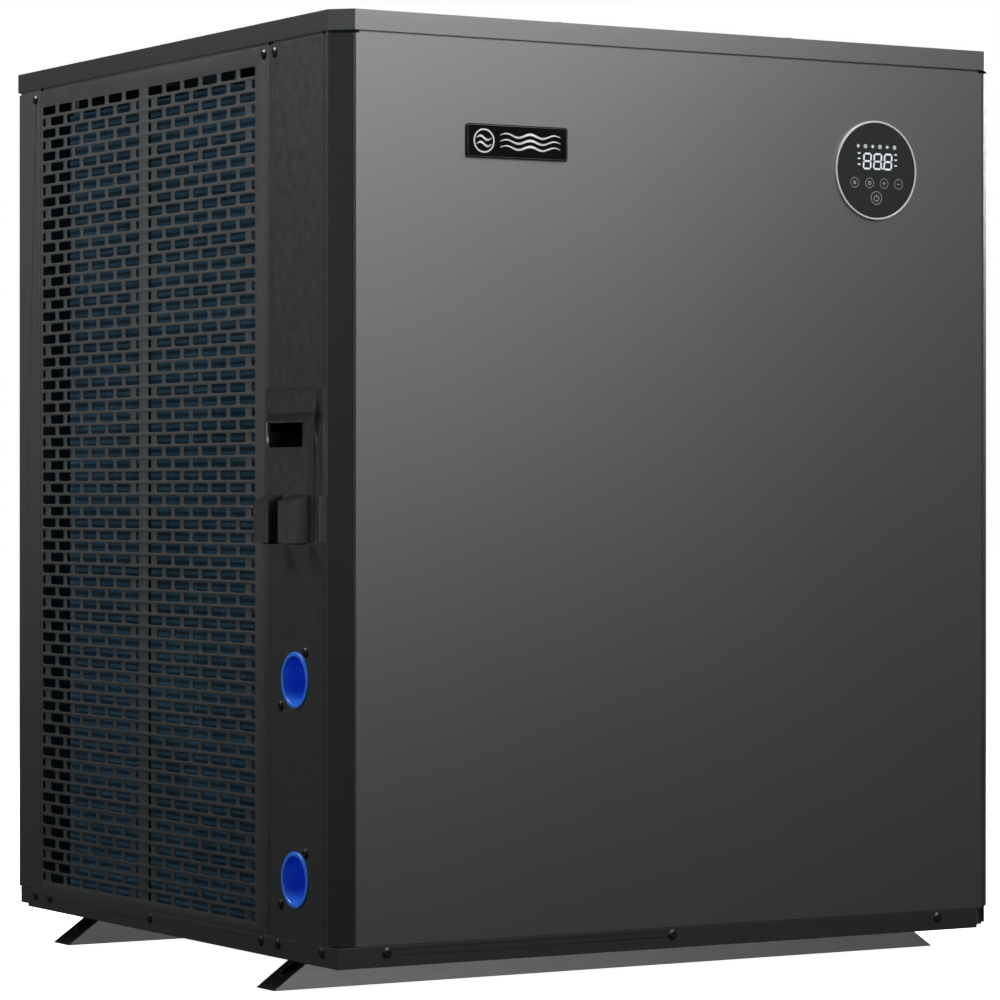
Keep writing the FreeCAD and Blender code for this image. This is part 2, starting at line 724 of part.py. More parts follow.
def top_cover():
    growth = 2 - math.sqrt(2)
    outer_leg = D.corner_cut + D.cap_overhang * growth
    inner_leg = outer_leg - D.sheet * growth
    skirt = prism("cover_block", "XY_Plane", octagon(D.cap_overhang, outer_leg),
                  D.cap_height, TOP - D.cap_height)
    hollow = prism("cover_hollow", "XY_Plane", octagon(D.cap_overhang - D.sheet, inner_leg),
                   D.cap_height, TOP - D.cap_height - D.sheet)
    tools = [rod("cover_opening", D.fan_opening, 30, 0, FAN_Y, TOP - 20)]
    for number, (x, y) in enumerate(COVER_SCREWS):
        tools.append(rod(f"cover_hole_{number}", D.screw_hole, 10, x, y, TOP - 5))
    for number, angle in enumerate(GUARD_SCREW_ANGLES):
        x, y = around(angle, GUARD_SCREW_CIRCLE)
        tools.append(rod(f"guard_hole_{number}", D.screw_hole, 10, x, FAN_Y + y, TOP - 5))
    pan = cut("cover_pan", skirt, [hollow])
    return node("top_cover", cut("top_cover", pan, tools))


def top_frame():
    """A flat ring that joins the posts and carries the cover."""
    outer_leg = D.corner_cut
    high = TOP - D.sheet
    plate = prism("frame_plate", "XY_Plane", octagon(-3, outer_leg), D.sheet, high - D.sheet)
    window = prism("frame_window", "XY_Plane", octagon(-31, outer_leg), 10, high - 5)
    tools = [window]
    for number, (x, y) in enumerate(COVER_SCREWS):
        tools.append(rod(f"frame_hole_{number}", D.screw_hole, 10, x, y, TOP - 8))
    return node("top_frame", cut("top_frame", plate, tools))


def mullion_ribs():
    ribs = []
    for side in ("left", "right"):
        middle = GUARD_FROM + D.field_margin + 5 * D.slot_pitch + D.slot_length + D.mullion / 2
        ribs.append(wall_box(f"rib_{side}", side, middle - D.rib_width / 2,
                             middle + D.rib_width / 2, D.sheet + D.rib_depth, D.sheet,
                             WALL_LOW + 12, WALL_HIGH - 12))
    ribs.append(wall_box("rib_back", "back", -D.rib_width / 2, D.rib_width / 2,
                         D.sheet + D.rib_depth, D.sheet, WALL_LOW + 12, WALL_HIGH - 12))
    return node("guard_ribs", group("guard_ribs", ribs))


# ---------------------------------------------------------------- screws

def screw(x, y, z, axis, length):
    """A pan-head screw with a cross recess; axis points out of the head."""
    out = AXES[axis]
    seat = Vector(float(x), float(y), float(z))
    radius = float(D.screw_head)
    height = float(D.screw_head_height)
    rim = height * 0.45
    head = Part.makeCylinder(radius, rim, seat, out)
    crown = Part.makeCone(radius, radius * 0.62, height - rim, seat + out * rim, out)
    shank = Part.makeCylinder(float(D.screw_radius), length, seat - out * length, out)
    whole = head.fuse([crown, shank])
    across = Vector(out.y, out.z, out.x)
    other = out.cross(across)
    for one, two in ((across, other), (other, across)):
        corner = seat + out * (height - 1.1) - one * 2.6 - two * 0.55
        blade = Part.makePolygon([corner, corner + one * 5.2, corner + one * 5.2 + two * 1.1,
                                  corner + two * 1.1, corner])
        whole = whole.cut(Part.Face(blade).extrude(out * 3))
    return whole.removeSplitter()


def screw_group(name, rows):
    """One node for the screws of several rows; each row is a list of places and a length."""
    solids = [screw(*place, float(length)) for places, length in rows for place in places]
    return node(name, shaped(name, Part.makeCompound(solids)))


def all_screws():
    low = []
    for side in ("left", "right", "front", "back"):
        low += [wall_point(side, along, SCREW_HEIGHT) for along in screw_places(side)]
    for side in ("left", "right"):
        low += [wall_point(side, along, HIGH_SCREW_HEIGHT) for along in HIGH_SCREWS]
    screw_group("panel_screws", [(low, D.screw_length)])
    top = [(x, y, TOP, "+Z") for x, y in COVER_SCREWS]
    for angle in GUARD_SCREW_ANGLES:
        x, y = around(angle, GUARD_SCREW_CIRCLE)
        top.append((x, FAN_Y + y, TOP + GUARD_TAB, "+Z"))
    screw_group("top_screws", [(top, D.short_screw)])
    port = [(LEFT, PORT_Y + along, height + up, "-X") for height, along, up in PORT_SCREWS]
    handle = [(LEFT + D.sheet, FRONT + along, BASE + up, "+X") for along, up in HANDLE_SCREWS]
    screw_group("service_screws", [(port, D.port_screw), (handle, D.short_screw)])


# ---------------------------------------------------------------- service side

def raised(name, near, far, low, high):
    """A block standing on the left wall: a rectangle at height low tapering to one at high.

    Each rectangle is (front, rear, lower, upper), from the front plane and the tray's underside.
    """
    thing = doc.addObject("Part::Wedge", name)
    bind(thing, Xmin=near[0], Xmax=near[1], Zmin=near[2], Zmax=near[3], Ymin=low, Ymax=high,
         X2min=far[0], X2max=far[1], Z2min=far[2], Z2max=far[3])
    thing.Placement = Placement(Vector(), Rotation(Vector(0, 0, 1), 90))
    return put(thing, LEFT, FRONT, BASE)


def left_box(name, front, rear, low, high, inner, outer):
    """A box on the left wall between two heights above it (negative is inside the casing)."""
    return box(name, LEFT - outer, LEFT - inner, FRONT + front, FRONT + rear,
               BASE + low, BASE + high)


HOOD_FRONT = 45.5
LOBE_WALL = 2.5
GROMMET_RADIUS = 8
GROMMET_OUT = 14.5


def lobe_starts():
    return [HOOD_FRONT, HOOD_FRONT + D.lobe_width + D.lobe_gap]


def grommet_places():
    return [(FRONT + start + D.lobe_width / 2, LEFT - GROMMET_OUT) for start in lobe_starts()]


def side_handle():
    slope = 4.5
    plate = raised("handle_plate",
                   (D.handle_front, D.handle_rear, D.handle_low, D.handle_high),
                   (D.handle_front + slope, D.handle_rear - slope,
                    D.handle_low, D.handle_high - slope), 0, D.plate_proud)
    box_slope = D.box_proud - D.plate_proud
    boxed = raised("handle_box",
                   (41, 145, D.handle_low, 581),
                   (41 + box_slope, 145 - box_slope, D.handle_low, 581 - box_slope - 2),
                   D.plate_proud - 0.5, D.box_proud)
    cup = left_box("handle_cup", D.grip_front - 3, D.grip_rear + 3, D.grip_low - 3,
                   D.grip_high + 11, -D.grip_depth, 0)
    wing = left_box("handle_wing", 22, 40, 445, 493, 0, 3)
    parts = [plate, boxed, cup, wing]
    tools = [
        left_box("grip_mouth", D.grip_front, D.grip_rear, D.grip_low, D.grip_high, -4,
                 D.box_proud + 1),
        left_box("grip_pocket", D.grip_front, D.grip_rear, D.grip_low, D.grip_high + 8,
                 3 - D.grip_depth, -2),
        left_box("hood_recess", HOOD_FRONT + D.lobe_width, HOOD_FRONT + D.lobe_width + D.lobe_gap,
                 D.handle_low - 1, D.hood_high - 6, 2.5, D.hood_proud),
    ]
    for number, start in enumerate(lobe_starts()):
        end = start + D.lobe_width
        parts.append(raised(f"hood_lobe_{number}",
                            (start, end, D.handle_low, D.hood_high),
                            (start, end, D.handle_low, D.hood_high - 7),
                            D.box_proud - 1, D.hood_proud))
        tools.append(left_box(f"lobe_hollow_{number}", start + LOBE_WALL, end - LOBE_WALL,
                              D.handle_low + LOBE_WALL, D.hood_high - 12, 3,
                              D.hood_proud - LOBE_WALL))
        tools.append(rod(f"grommet_seat_{number}", GROMMET_RADIUS, 10, LEFT - GROMMET_OUT,
                         FRONT + start + D.lobe_width / 2, BASE + D.handle_low - 4))
    tools.append(left_box("cable_way_front", 62, 77, 464, 480, -1, 4))
    tools.append(left_box("cable_way_rear", 105, 120, 464, 480, -1, 4))
    for number, (along, up) in enumerate(HANDLE_SCREWS):
        tools.append(rod(f"handle_screw_seat_{number}", D.screw_hole, 4.5, LEFT + 1,
                         FRONT + along, BASE + up, "-X"))
    solid = fuse("handle_solid", parts)
    for number, tool in enumerate(tools):
        solid = cut(f"side_handle_cut_{number}", solid, [tool])
    lip = D.grip_high + 8
    regions = [
        left_box("handle_below_grip", 0, 200, 400, D.grip_low, -60, 60),
        left_box("handle_above_grip", 0, 200, lip, 700, -60, 60),
        left_box("handle_before_grip", 0, D.grip_front, D.grip_low, lip, -60, 60),
        left_box("handle_behind_grip", D.grip_rear, 200, D.grip_low, lip, -60, 60),
        left_box("handle_pocket_end", D.grip_front, D.grip_rear, D.grip_low, lip, -60,
                 3 - D.grip_depth),
        left_box("handle_lip", D.grip_front, D.grip_rear, D.grip_high, lip, -2, 60),
    ]
    return node("side_handle", split("side_handle", solid, regions))


def cable_grommets():
    rings = []
    for number, (y, x) in enumerate(grommet_places()):
        cable = (6.5, 4)[number]
        low = D.handle_low + BASE
        section = [(cable, -1.5), (GROMMET_RADIUS + 2, -1.5), (GROMMET_RADIUS + 2, 0),
                   (GROMMET_RADIUS, 0), (GROMMET_RADIUS, LOBE_WALL),
                   (GROMMET_RADIUS + 2, LOBE_WALL), (GROMMET_RADIUS + 2, LOBE_WALL + 1.5),
                   (cable, LOBE_WALL + 1.5)]
        rings.append(turned(f"grommet_{number}", section, x, y, low))
    return node("cable_grommets", group("cable_grommets", rings))


PORT_REACH = 60


def water_port(name, height):
    """A union for a glued 50 mm pipe, flanged behind the panel."""
    bore = D.port_bore
    outer = D.port_outer
    end = PORT_REACH + D.port_proud
    panel = PORT_REACH - D.sheet
    section = [(D.pipe_bore, 0), (outer, 0), (outer, panel - 6), (outer + 4, panel - 6),
               (outer + 4, panel), (outer, panel), (outer, end), (bore, end),
               (bore, end - D.port_socket), (D.pipe_bore, end - D.port_socket)]
    return node(name, turned(name, section, LEFT + PORT_REACH, PORT_Y, height, "-X"))


def port_retainers():
    plates = []
    for label, height in (("inlet", INLET_Z), ("outlet", OUTLET_Z)):
        near = LEFT + D.sheet + 6
        half = D.retainer_size / 2
        plate = box(f"retainer_{label}_plate", near, near + 4, PORT_Y + 4 - half, PORT_Y + 4 + half,
                    height - half, height + half)
        tools = [rod(f"retainer_{label}_bore", D.port_outer + 0.4, 20, near - 5, PORT_Y, height,
                     "+X")]
        for number, (level, along, up) in enumerate(PORT_SCREWS):
            if level is height:
                tools.append(rod(f"retainer_hole_{number}", D.screw_hole, 20, near - 5,
                                 PORT_Y + along, height + up, "+X"))
        plates.append(cut(f"retainer_{label}", plate, tools))
    return node("port_retainers", group("port_retainers", plates))


EXCHANGER_NEAR = D.exchanger_x - D.exchanger_radius - 36
SWITCH_X = -334
PIVOT_UP = 34


def water_pipes():
    start = LEFT + PORT_REACH
    length = EXCHANGER_NEAR - start
    pipes = []
    for name, height in (("inlet_pipe", INLET_Z), ("outlet_pipe", OUTLET_Z)):
        parts = [rod(f"{name}_tube", D.pipe_outer, length, start, PORT_Y, height, "+X")]
        tools = [rod(f"{name}_bore", D.pipe_bore, length + 10, start - 5, PORT_Y, height, "+X")]
        if height is INLET_Z:
            parts.append(rod("switch_boss", 15, 47, SWITCH_X, PORT_Y, height))
            tools.append(rod("switch_boss_bore", 11, 60, SWITCH_X, PORT_Y, height))
        whole = fuse(f"{name}_solid", parts) if len(parts) > 1 else parts[0]
        for number, tool in enumerate(tools):
            whole = cut(f"{name}_{number}", whole, [tool])
        pipes.append(whole)
    node("water_pipes", group("water_pipes", pipes))


def flow_switch():
    low = INLET_Z + 26
    stem = rod("switch_stem", 10.8, 26, SWITCH_X, PORT_Y, low)
    cap = rod("switch_cap", 19, 8, SWITCH_X, PORT_Y, INLET_Z + 47)
    case = box("switch_case", SWITCH_X - 20, SWITCH_X + 20, PORT_Y - 14, PORT_Y + 14,
               INLET_Z + 54, INLET_Z + 92)
    slot = box("switch_slot", SWITCH_X - 12, SWITCH_X + 12, PORT_Y - 4, PORT_Y + 4,
               low - 1, INLET_Z + 43)
    pin_hole = rod("switch_pin_hole", 1.5, 30, SWITCH_X, PORT_Y - 15, INLET_Z + PIVOT_UP, "+Y")
    whole = cut("switch_slotted", fuse("switch_solid", [stem, cap, case]), [slot])
    switch = cut("switch_drilled", whole, [pin_hole])
    pin = rod("switch_pin", 1.5, 20, SWITCH_X, PORT_Y - 10, INLET_Z + PIVOT_UP, "+Y")
    node("flow_switch_body", group("flow_switch_body", [switch, pin]))
    arm = box("paddle_arm", SWITCH_X - 1, SWITCH_X + 1, PORT_Y - 3, PORT_Y + 3,
              INLET_Z + 10, INLET_Z + PIVOT_UP)
    eye = rod("paddle_eye", 3.4, 6, SWITCH_X, PORT_Y - 3, INLET_Z + PIVOT_UP, "+Y")
    blade = box("paddle_blade", SWITCH_X - 0.6, SWITCH_X + 0.6, PORT_Y - 9, PORT_Y + 9,
                INLET_Z - 15, INLET_Z + 17)
    bore = rod("paddle_bore", 1.55, 10, SWITCH_X, PORT_Y - 5, INLET_Z + PIVOT_UP, "+Y")
    node("flow_switch_paddle", cut("flow_switch_paddle", fuse("paddle_solid", [arm, eye, blade]),
                                   [bore]))


def heat_exchanger():
    low = BASE + 15
    x = D.exchanger_x
    radius = D.exchanger_radius
    inside = radius - D.exchanger_wall
    shell = rod("exchanger_tube", radius, D.exchanger_height, x, PORT_Y, low)
    parts = [shell]
    tools = [rod("exchanger_hollow", inside, D.exchanger_height + 10, x, PORT_Y, low - 5)]
    for label, height in (("inlet", INLET_Z), ("outlet", OUTLET_Z)):
        reach = x - EXCHANGER_NEAR
        parts.append(rod(f"exchanger_{label}", D.pipe_outer, reach, EXCHANGER_NEAR, PORT_Y,
                         height, "+X"))
        tools.append(rod(f"exchanger_{label}_bore", D.pipe_bore, reach + 5, EXCHANGER_NEAR - 5,
                         PORT_Y, height, "+X"))
    whole = fuse("exchanger_solid", parts)
    for number, tool in enumerate(tools):
        last = number == len(tools) - 1
        whole = cut("exchanger_drilled" if last else f"exchanger_cut_{number}", whole, [tool])
    cap = [(0, 0), (radius, 0), (radius, 10), (inside - 0.2, 10), (inside - 0.2, 22), (0, 22)]
    lower = turned("exchanger_lower_cap", [(u, v - 10) for u, v in cap], x, PORT_Y, low)
    upper_points = [(0, -12), (inside - 0.2, -12), (inside - 0.2, 0), (radius, 0), (radius, 10),
                    (0, 10)]
    upper = turned("exchanger_upper_cap", upper_points, x, PORT_Y, low + D.exchanger_height)
    turns = []
    for number in range(14):
        ring = doc.addObject("Part::Torus", f"coil_turn_{number}")
        bind(ring, Radius1=inside - 12, Radius2=6)
        put(ring, x, PORT_Y, low + 60 + number * 28)
        turns.append(ring)
    node("titanium_coil", group("titanium_coil", turns))
    stand = [(radius - 8, 0), (radius + 1, 0), (radius + 1, 3.8), (radius - 8, 3.8)]
    ring = turned("exchanger_stand", stand, x, PORT_Y, BASE + D.sheet)
    node("exchanger_shell", group("exchanger_shell", [whole, lower, upper, ring]))


# ---------------------------------------------------------------- display and name plate

def display():
    ring = D.bezel_radius
    seat = ring - D.bezel_width
    x = D.display_offset
    bezel = [(seat - 4.5, 0), (ring, 0), (ring, D.bezel_proud), (seat, D.bezel_proud),
             (seat, 0.8), (seat - 4.5, 0.8)]
    node("display_bezel", turned("display_bezel", bezel, x, FRONT, DISPLAY_Z, "-Y"))
    lens = [(0, 0.8), (seat - 0.1, 0.8), (seat - 0.1, 2.3), (seat - 0.5, D.bezel_proud - 0.3),
            (0, D.bezel_proud - 0.3)]
    node("display_lens", turned("display_lens", lens, x, FRONT, DISPLAY_Z, "-Y"))
    cup = D.display_hole - 0.5
    housing = [(0, -26), (cup, -26), (cup, 0), (cup - 2, 0), (cup - 2, -24), (0, -24)]
    node("display_housing", turned("display_housing", housing, x, FRONT, DISPLAY_Z, "-Y"))


def name_plate():
    start = LEFT + D.plate_start
    low = BASE + D.plate_low
    plate = box("name_plate_blank", start, start + D.plate_width, FRONT - D.plate_thick, FRONT,
                low, low + D.plate_height)
    doc.recompute()
    rounded = doc.addObject("Part::Fillet", "name_plate")
    rounded.Base = plate
    upright = []
    for number, edge in enumerate(plate.Shape.Edges, start=1):
        direction = edge.tangentAt(edge.FirstParameter)
        if abs(direction.y) > 0.99:
            upright.append((number, 3.0, 3.0))
    rounded.Edges = upright
    return node("name_plate", rounded)


# ---------------------------------------------------------------- fan

HUB_LOW = BASE + D.fan_base
MOTOR_LOW = HUB_LOW - 12 - D.motor_height
BLADE_COUNT = 4
CAMBER_RADIUS = 300


def fan_shroud():
    throat = D.fan_opening - 8
    lip = TOP - D.sheet
    section = [(throat, 0), (D.fan_opening + 18, 0), (D.fan_opening + 18, -2), (throat + 2, -2),
               (throat + 2, -35), (throat + 7, -43), (throat + 18, -48), (throat + 18, -50),
               (throat + 6, -45), (throat, -36)]
    shroud = turned("shroud_ring", section, 0, FAN_Y, lip)
    holes = []
    for number, angle in enumerate(GUARD_SCREW_ANGLES):
        x, y = around(angle, GUARD_SCREW_CIRCLE)
        holes.append(rod(f"shroud_hole_{number}", D.screw_hole, 10, x, FAN_Y + y, lip - 5))
    return node("fan_shroud", cut("fan_shroud", shroud, holes))


def fan_guard():
    """Concentric wires that lie on spokes, which rise a little towards the middle disc."""
    rim = float(D.guard_rim)
    wire = float(D.ring_wire)
    bar = float(D.spoke_wire)
    top = float(TOP)
    contact = 0.02
    hub_reach = 46
    middle = Vector(0, float(FAN_Y), 0)
    up = Vector(0, 0, 1)
    rim_height = top + GUARD_TAB + bar + contact
    hub_height = top + 14
    rise = (hub_height - rim_height) / (rim - hub_reach)
    solids = [Part.makeTorus(rim, bar, middle + up * rim_height)]
    for number in range(8):
        way = Vector(*around(45 * number, 1), 0)
        outer = middle + way * (rim - bar - contact) + up * rim_height
        inner = middle + way * hub_reach + up * hub_height
        solids.append(Part.makeCylinder(bar, (inner - outer).Length, outer, inner - outer))
    radius = 64
    while radius < rim - 8:
        height = rim_height + rise * (rim - radius) + bar + wire + contact
        solids.append(Part.makeTorus(radius, wire, middle + up * height))
        radius += float(D.guard_pitch)
    solids.append(Part.makeCylinder(56, 3, middle + up * (hub_height + bar + contact)))
    for angle in GUARD_SCREW_ANGLES:
        tab = Part.makeBox(22, 16, GUARD_TAB, Vector(GUARD_SCREW_CIRCLE - 8, -8, top))
        hole = Part.makeCylinder(float(D.screw_hole), 6, Vector(GUARD_SCREW_CIRCLE, 0, top - 2))
        tab = tab.cut(hole)
        tab.Placement = Placement(middle, Rotation(up, angle))
        solids.append(tab)
    return node("fan_guard", shaped("fan_guard", Part.makeCompound(solids)))


def fan_rotor():
    hub_outer = D.hub_radius
    shaft = D.shaft_radius
    high = D.hub_height
    hub = turned("fan_hub", [(shaft, 20), (shaft + 10, 20), (shaft + 10, high - 4),
                             (hub_outer - 3.5, high - 4), (hub_outer - 3.5, 0), (hub_outer, 0),
                             (hub_outer, high), (shaft, high)], 0, FAN_Y, HUB_LOW)
    doc.recompute()
    tip = float(D.fan_radius)
    root = float(D.hub_radius) - 2
    blades = []
    chord_low = Vector(0, -92, 6)
    chord_high = Vector(0, 92, 78)
    chord = chord_high - chord_low
    sag_normal = Vector(0, -chord.z, chord.y).normalize()
    drop = math.sqrt(CAMBER_RADIUS ** 2 - (chord.Length / 2) ** 2)
    axis_point = (chord_low + chord_high) / 2 - sag_normal * drop
    start = Vector(0, axis_point.y, axis_point.z)
    along = Vector(1, 0, 0)
    curved = Part.makeCylinder(CAMBER_RADIUS + 3, 320, start, along).cut(
        Part.makeCylinder(CAMBER_RADIUS, 320, start, along))
    root_low = Vector(*around(-46, root), 0)
    root_high = Vector(*around(40, root), 0)
    tip_low = Vector(*around(-24, tip), 0)
    tip_high = Vector(*around(15, tip), 0)
    leading = Part.Arc(root_high, Vector(*around(23, 165), 0), tip_high)
    trailing = Part.Arc(tip_low, Vector(*around(-34, 165), 0), root_low)
    outer = Part.Arc(tip_high, Vector(*around(-4, tip), 0), tip_low)
    inner = Part.Arc(root_low, Vector(root, 0, 0), root_high)
    outline = Part.Wire([item.toShape() for item in (leading, outer, trailing, inner)])
    plan = Part.Face(outline).extrude(Vector(0, 0, 120))
    plan.translate(Vector(0, 0, -20))
    blade = curved.common(plan)
    for number in range(BLADE_COUNT):
        copy = blade.copy()
        copy.Placement = Placement(Vector(0, float(FAN_Y), float(HUB_LOW)),
                                   Rotation(Vector(0, 0, 1), 360 / BLADE_COUNT * number))
        blades.append(copy)
    whole = hub.Shape.fuse(blades).removeSplitter()
    node("fan_rotor", shaped("fan_rotor", whole))
    shaft_low = MOTOR_LOW + 20
    spindle = rod("fan_spindle", shaft, HUB_LOW + high + 14 - shaft_low, 0, FAN_Y, shaft_low)
    fan_y = float(FAN_Y)
    nut_low = float(HUB_LOW + high)
    nut = hexagon(26, nut_low, 10, 0, fan_y)
    bore = Part.makeCylinder(float(shaft), 20, Vector(0, fan_y, nut_low - 5))
    node("fan_shaft", group("fan_shaft", [spindle, shaped("fan_nut", nut.cut(bore))]))


def fan_motor():
    bore = D.shaft_radius + D.shaft_clearance
    radius = D.motor_radius
    high = D.motor_height
    section = [(0, 0), (radius - 6, 0), (radius, 6), (radius, high - 14), (radius - 12, high - 4),
               (26, high), (bore, high), (bore, 16), (0, 16)]
    return node("fan_motor", turned("fan_motor", section, 0, FAN_Y, MOTOR_LOW))


def motor_bracket():
    """Two straps hung from the top frame, joined by the plate that carries the motor."""
    gauge = 3
    leg_x = 340
    reach = 405
    high = TOP - 2 * D.sheet
    parts = [box("motor_plate", -80, 80, FAN_Y - 70, FAN_Y + 70, MOTOR_LOW - gauge, MOTOR_LOW)]
    for number, y in enumerate((FAN_Y - 48, FAN_Y + 48)):
        near, far = y - 14, y + 14
        parts.append(box(f"strap_{number}", -leg_x, leg_x, near, far, MOTOR_LOW - gauge, MOTOR_LOW))
        for side, way in (("left", -1), ("right", 1)):
            x0 = -leg_x if way < 0 else leg_x - gauge
            parts.append(box(f"leg_{number}_{side}", x0, x0 + gauge, near, far,
                             MOTOR_LOW - gauge, high))
            f0 = -reach if way < 0 else leg_x - gauge
            f1 = -leg_x + gauge if way < 0 else reach
            parts.append(box(f"hanger_{number}_{side}", f0, f1, near, far, high - gauge, high))
    return node("motor_bracket", fuse("motor_bracket", parts))


# ---------------------------------------------------------------- evaporator and partition

COIL_LOW = BASE + D.coil_low
COIL_HIGH = BASE + D.coil_high
HEADER_X = LEFT + D.coil_inset + D.coil_thick + 16
HEADER_Y = FRONT + 215
HEADER_RADIUS = 9


def evaporator_fins():
    """The finned pack, bent round the left, back and right sides."""
    out = float(LEFT + D.coil_inset)
    rear = float(BACK - D.coil_inset)
    ahead = float(FRONT + D.coil_front)
    thick = float(D.coil_thick)
    bend = float(D.coil_bend)

    def u_line(offset):
        radius = bend - offset
        x = out + offset
        y = rear - offset
        lean = radius * (1 - math.sqrt(0.5))
        left = Part.LineSegment(Vector(x, ahead, 0), Vector(x, y - radius, 0))
        turn_left = Part.Arc(Vector(x, y - radius, 0), Vector(x + lean, y - lean, 0),
                             Vector(x + radius, y, 0))
        across = Part.LineSegment(Vector(x + radius, y, 0), Vector(-x - radius, y, 0))
        turn_right = Part.Arc(Vector(-x - radius, y, 0), Vector(-x - lean, y - lean, 0),
                              Vector(-x, y - radius, 0))
        right = Part.LineSegment(Vector(-x, y - radius, 0), Vector(-x, ahead, 0))
        return [item.toShape() for item in (left, turn_left, across, turn_right, right)]

    outer = u_line(0)
    inner = u_line(thick)
    joint_left = Part.LineSegment(Vector(out, ahead, 0), Vector(out + thick, ahead, 0)).toShape()
    joint_right = Part.LineSegment(Vector(-out, ahead, 0), Vector(-out - thick, ahead, 0)).toShape()
    wire = Part.Wire(Part.sortEdges(outer + inner + [joint_left, joint_right])[0])
    pack = Part.Face(wire).extrude(Vector(0, 0, float(COIL_HIGH - COIL_LOW)))
    pack.translate(Vector(0, 0, float(COIL_LOW)))
    return node("evaporator_fins", shaped("evaporator_fins", pack))


def coil_ends():
    ahead = FRONT + D.coil_front
    plates = []
    for side in ("left", "right"):
        plates.append(wall_box(f"end_plate_{side}", side, ahead - 1.5, ahead,
                               D.coil_inset + D.coil_thick + 6, D.coil_inset - 6,
                               COIL_LOW, COIL_HIGH))
    node("coil_end_plates", group("coil_end_plates", plates))
    pitch = float(D.tube_pitch)
    radius = float(D.tube_radius)
    count = int(float(COIL_HIGH - COIL_LOW - 30) / (2 * pitch))
    bends = []
    for way in (-1, 1):
        for depth in (0.25, 0.75):
            x = way * (float(RIGHT - D.coil_inset) - depth * float(D.coil_thick))
            for number in range(count):
                low = float(COIL_LOW) + 20 + 2 * pitch * number
                centre = Vector(x, float(ahead) - 1.5, low + pitch / 2)
                ring = Part.makeTorus(pitch / 2, radius, centre, Vector(1, 0, 0))
                corner = centre + Vector(-20, -40, -20)
                bends.append(ring.common(Part.makeBox(40, 40, 40, corner)))
    header = rod("coil_header", HEADER_RADIUS, 820, HEADER_X, HEADER_Y, COIL_LOW + 60)
    returns = shaped("return_bends", Part.makeCompound(bends))
    node("coil_tubes", group("coil_tubes", [header, returns]))


PARTITION_Y = FRONT + D.partition_depth
PIPE_RADIUS = 6.4
PIPE_WALL = 1
SINK_X = D.control_start + D.control_width / 2
SINK_Z = BASE + D.control_low + D.control_height / 2
SINK_WIDTH = 210
SINK_HEIGHT = 150
LINE_Y = COMPRESSOR_Y
VALVE_X = -62
VALVE_Z = BASE + 520
COIL_GAS_Z = BASE + 440
LIQUID_X = -116
LIQUID_Z = BASE + 415
DRIER_LOW = BASE + 150
EXPANSION_LOW = BASE + 320


def partition():
    plate = box("partition_plate", LEFT + 20, RIGHT - 20, PARTITION_Y, PARTITION_Y + D.sheet,
                BASE + D.sheet, COIL_HIGH - 4)
    tools = [
        box("sink_window", SINK_X - SINK_WIDTH / 2 - 3, SINK_X + SINK_WIDTH / 2 + 3,
            PARTITION_Y - 5, PARTITION_Y + 10, SINK_Z - SINK_HEIGHT / 2 - 3,
            SINK_Z + SINK_HEIGHT / 2 + 3),
        rod("gas_hole", 9, 20, VALVE_X + 30, PARTITION_Y - 10, COIL_GAS_Z, "+Y"),
        rod("liquid_hole", 9, 20, LIQUID_X, PARTITION_Y - 10, LIQUID_Z, "+Y"),
    ]
    for way in (-1, 1):
        bolt_x = D.tray_bolt_spacing / 2 * way
        tools.append(box(f"bolt_notch_{way + 1}", bolt_x - 10, bolt_x + 10, PARTITION_Y - 5,
                         PARTITION_Y + 5, BASE, BASE + 9))
    return node("partition", cut("partition", plate, tools))


# ---------------------------------------------------------------- refrigeration

COMPRESSOR_LOW = BASE + D.sheet + D.grommet_height
ACCUMULATOR_X = -28
ACCUMULATOR_LOW = BASE + 60
EXCHANGER_HIGH = BASE + 15 + D.exchanger_height + 10


def compressor():
    radius = D.compressor_radius
    high = D.compressor_height
    section = [(0, 4), (radius - 20, 4), (radius - 6, 12), (radius, 26), (radius, high - 34),
               (radius - 5, high - 18), (radius - 18, high - 6), (8, high), (8, high + 16),
               (4, high + 16), (4, high - 10), (0, high - 10)]
    shell = turned("compressor_shell", section, D.compressor_x, COMPRESSOR_Y, COMPRESSOR_LOW)
    parts = [shell]
    holes = []
    for angle in MOUNT_ANGLES:
        x, y = around(angle, MOUNT_CIRCLE)
        lug = rod(f"lug_{angle}", 12, 4, D.compressor_x + x, COMPRESSOR_Y + y, COMPRESSOR_LOW)
        parts.append(lug)
        arm_x, arm_y = around(angle, 40)
        parts.append(rod(f"lug_arm_{angle}", 16, 4.5, D.compressor_x + arm_x,
                         COMPRESSOR_Y + arm_y, COMPRESSOR_LOW))
        holes.append(rod(f"lug_hole_{angle}", 4.2, 20, D.compressor_x + x, COMPRESSOR_Y + y,
                         COMPRESSOR_LOW - 5))
    node("compressor", cut("compressor", fuse("compressor_solid", parts), holes))
    section = [(4.2, 0), (11, 0), (11, D.grommet_height), (4.2, D.grommet_height)]
    grommets = []
    for angle in MOUNT_ANGLES:
        x, y = around(angle, MOUNT_CIRCLE)
        grommets.append(turned(f"mount_rubber_{angle}", section, D.compressor_x + x,
                               COMPRESSOR_Y + y, BASE + D.sheet))
    node("compressor_grommets", group("compressor_grommets", grommets))
    body = [(0, 0), (24, 0), (35, 10), (35, 190), (24, 200), (7, 200), (7, 212), (0, 212)]
    node("accumulator", turned("accumulator", body, ACCUMULATOR_X, LINE_Y, ACCUMULATOR_LOW))


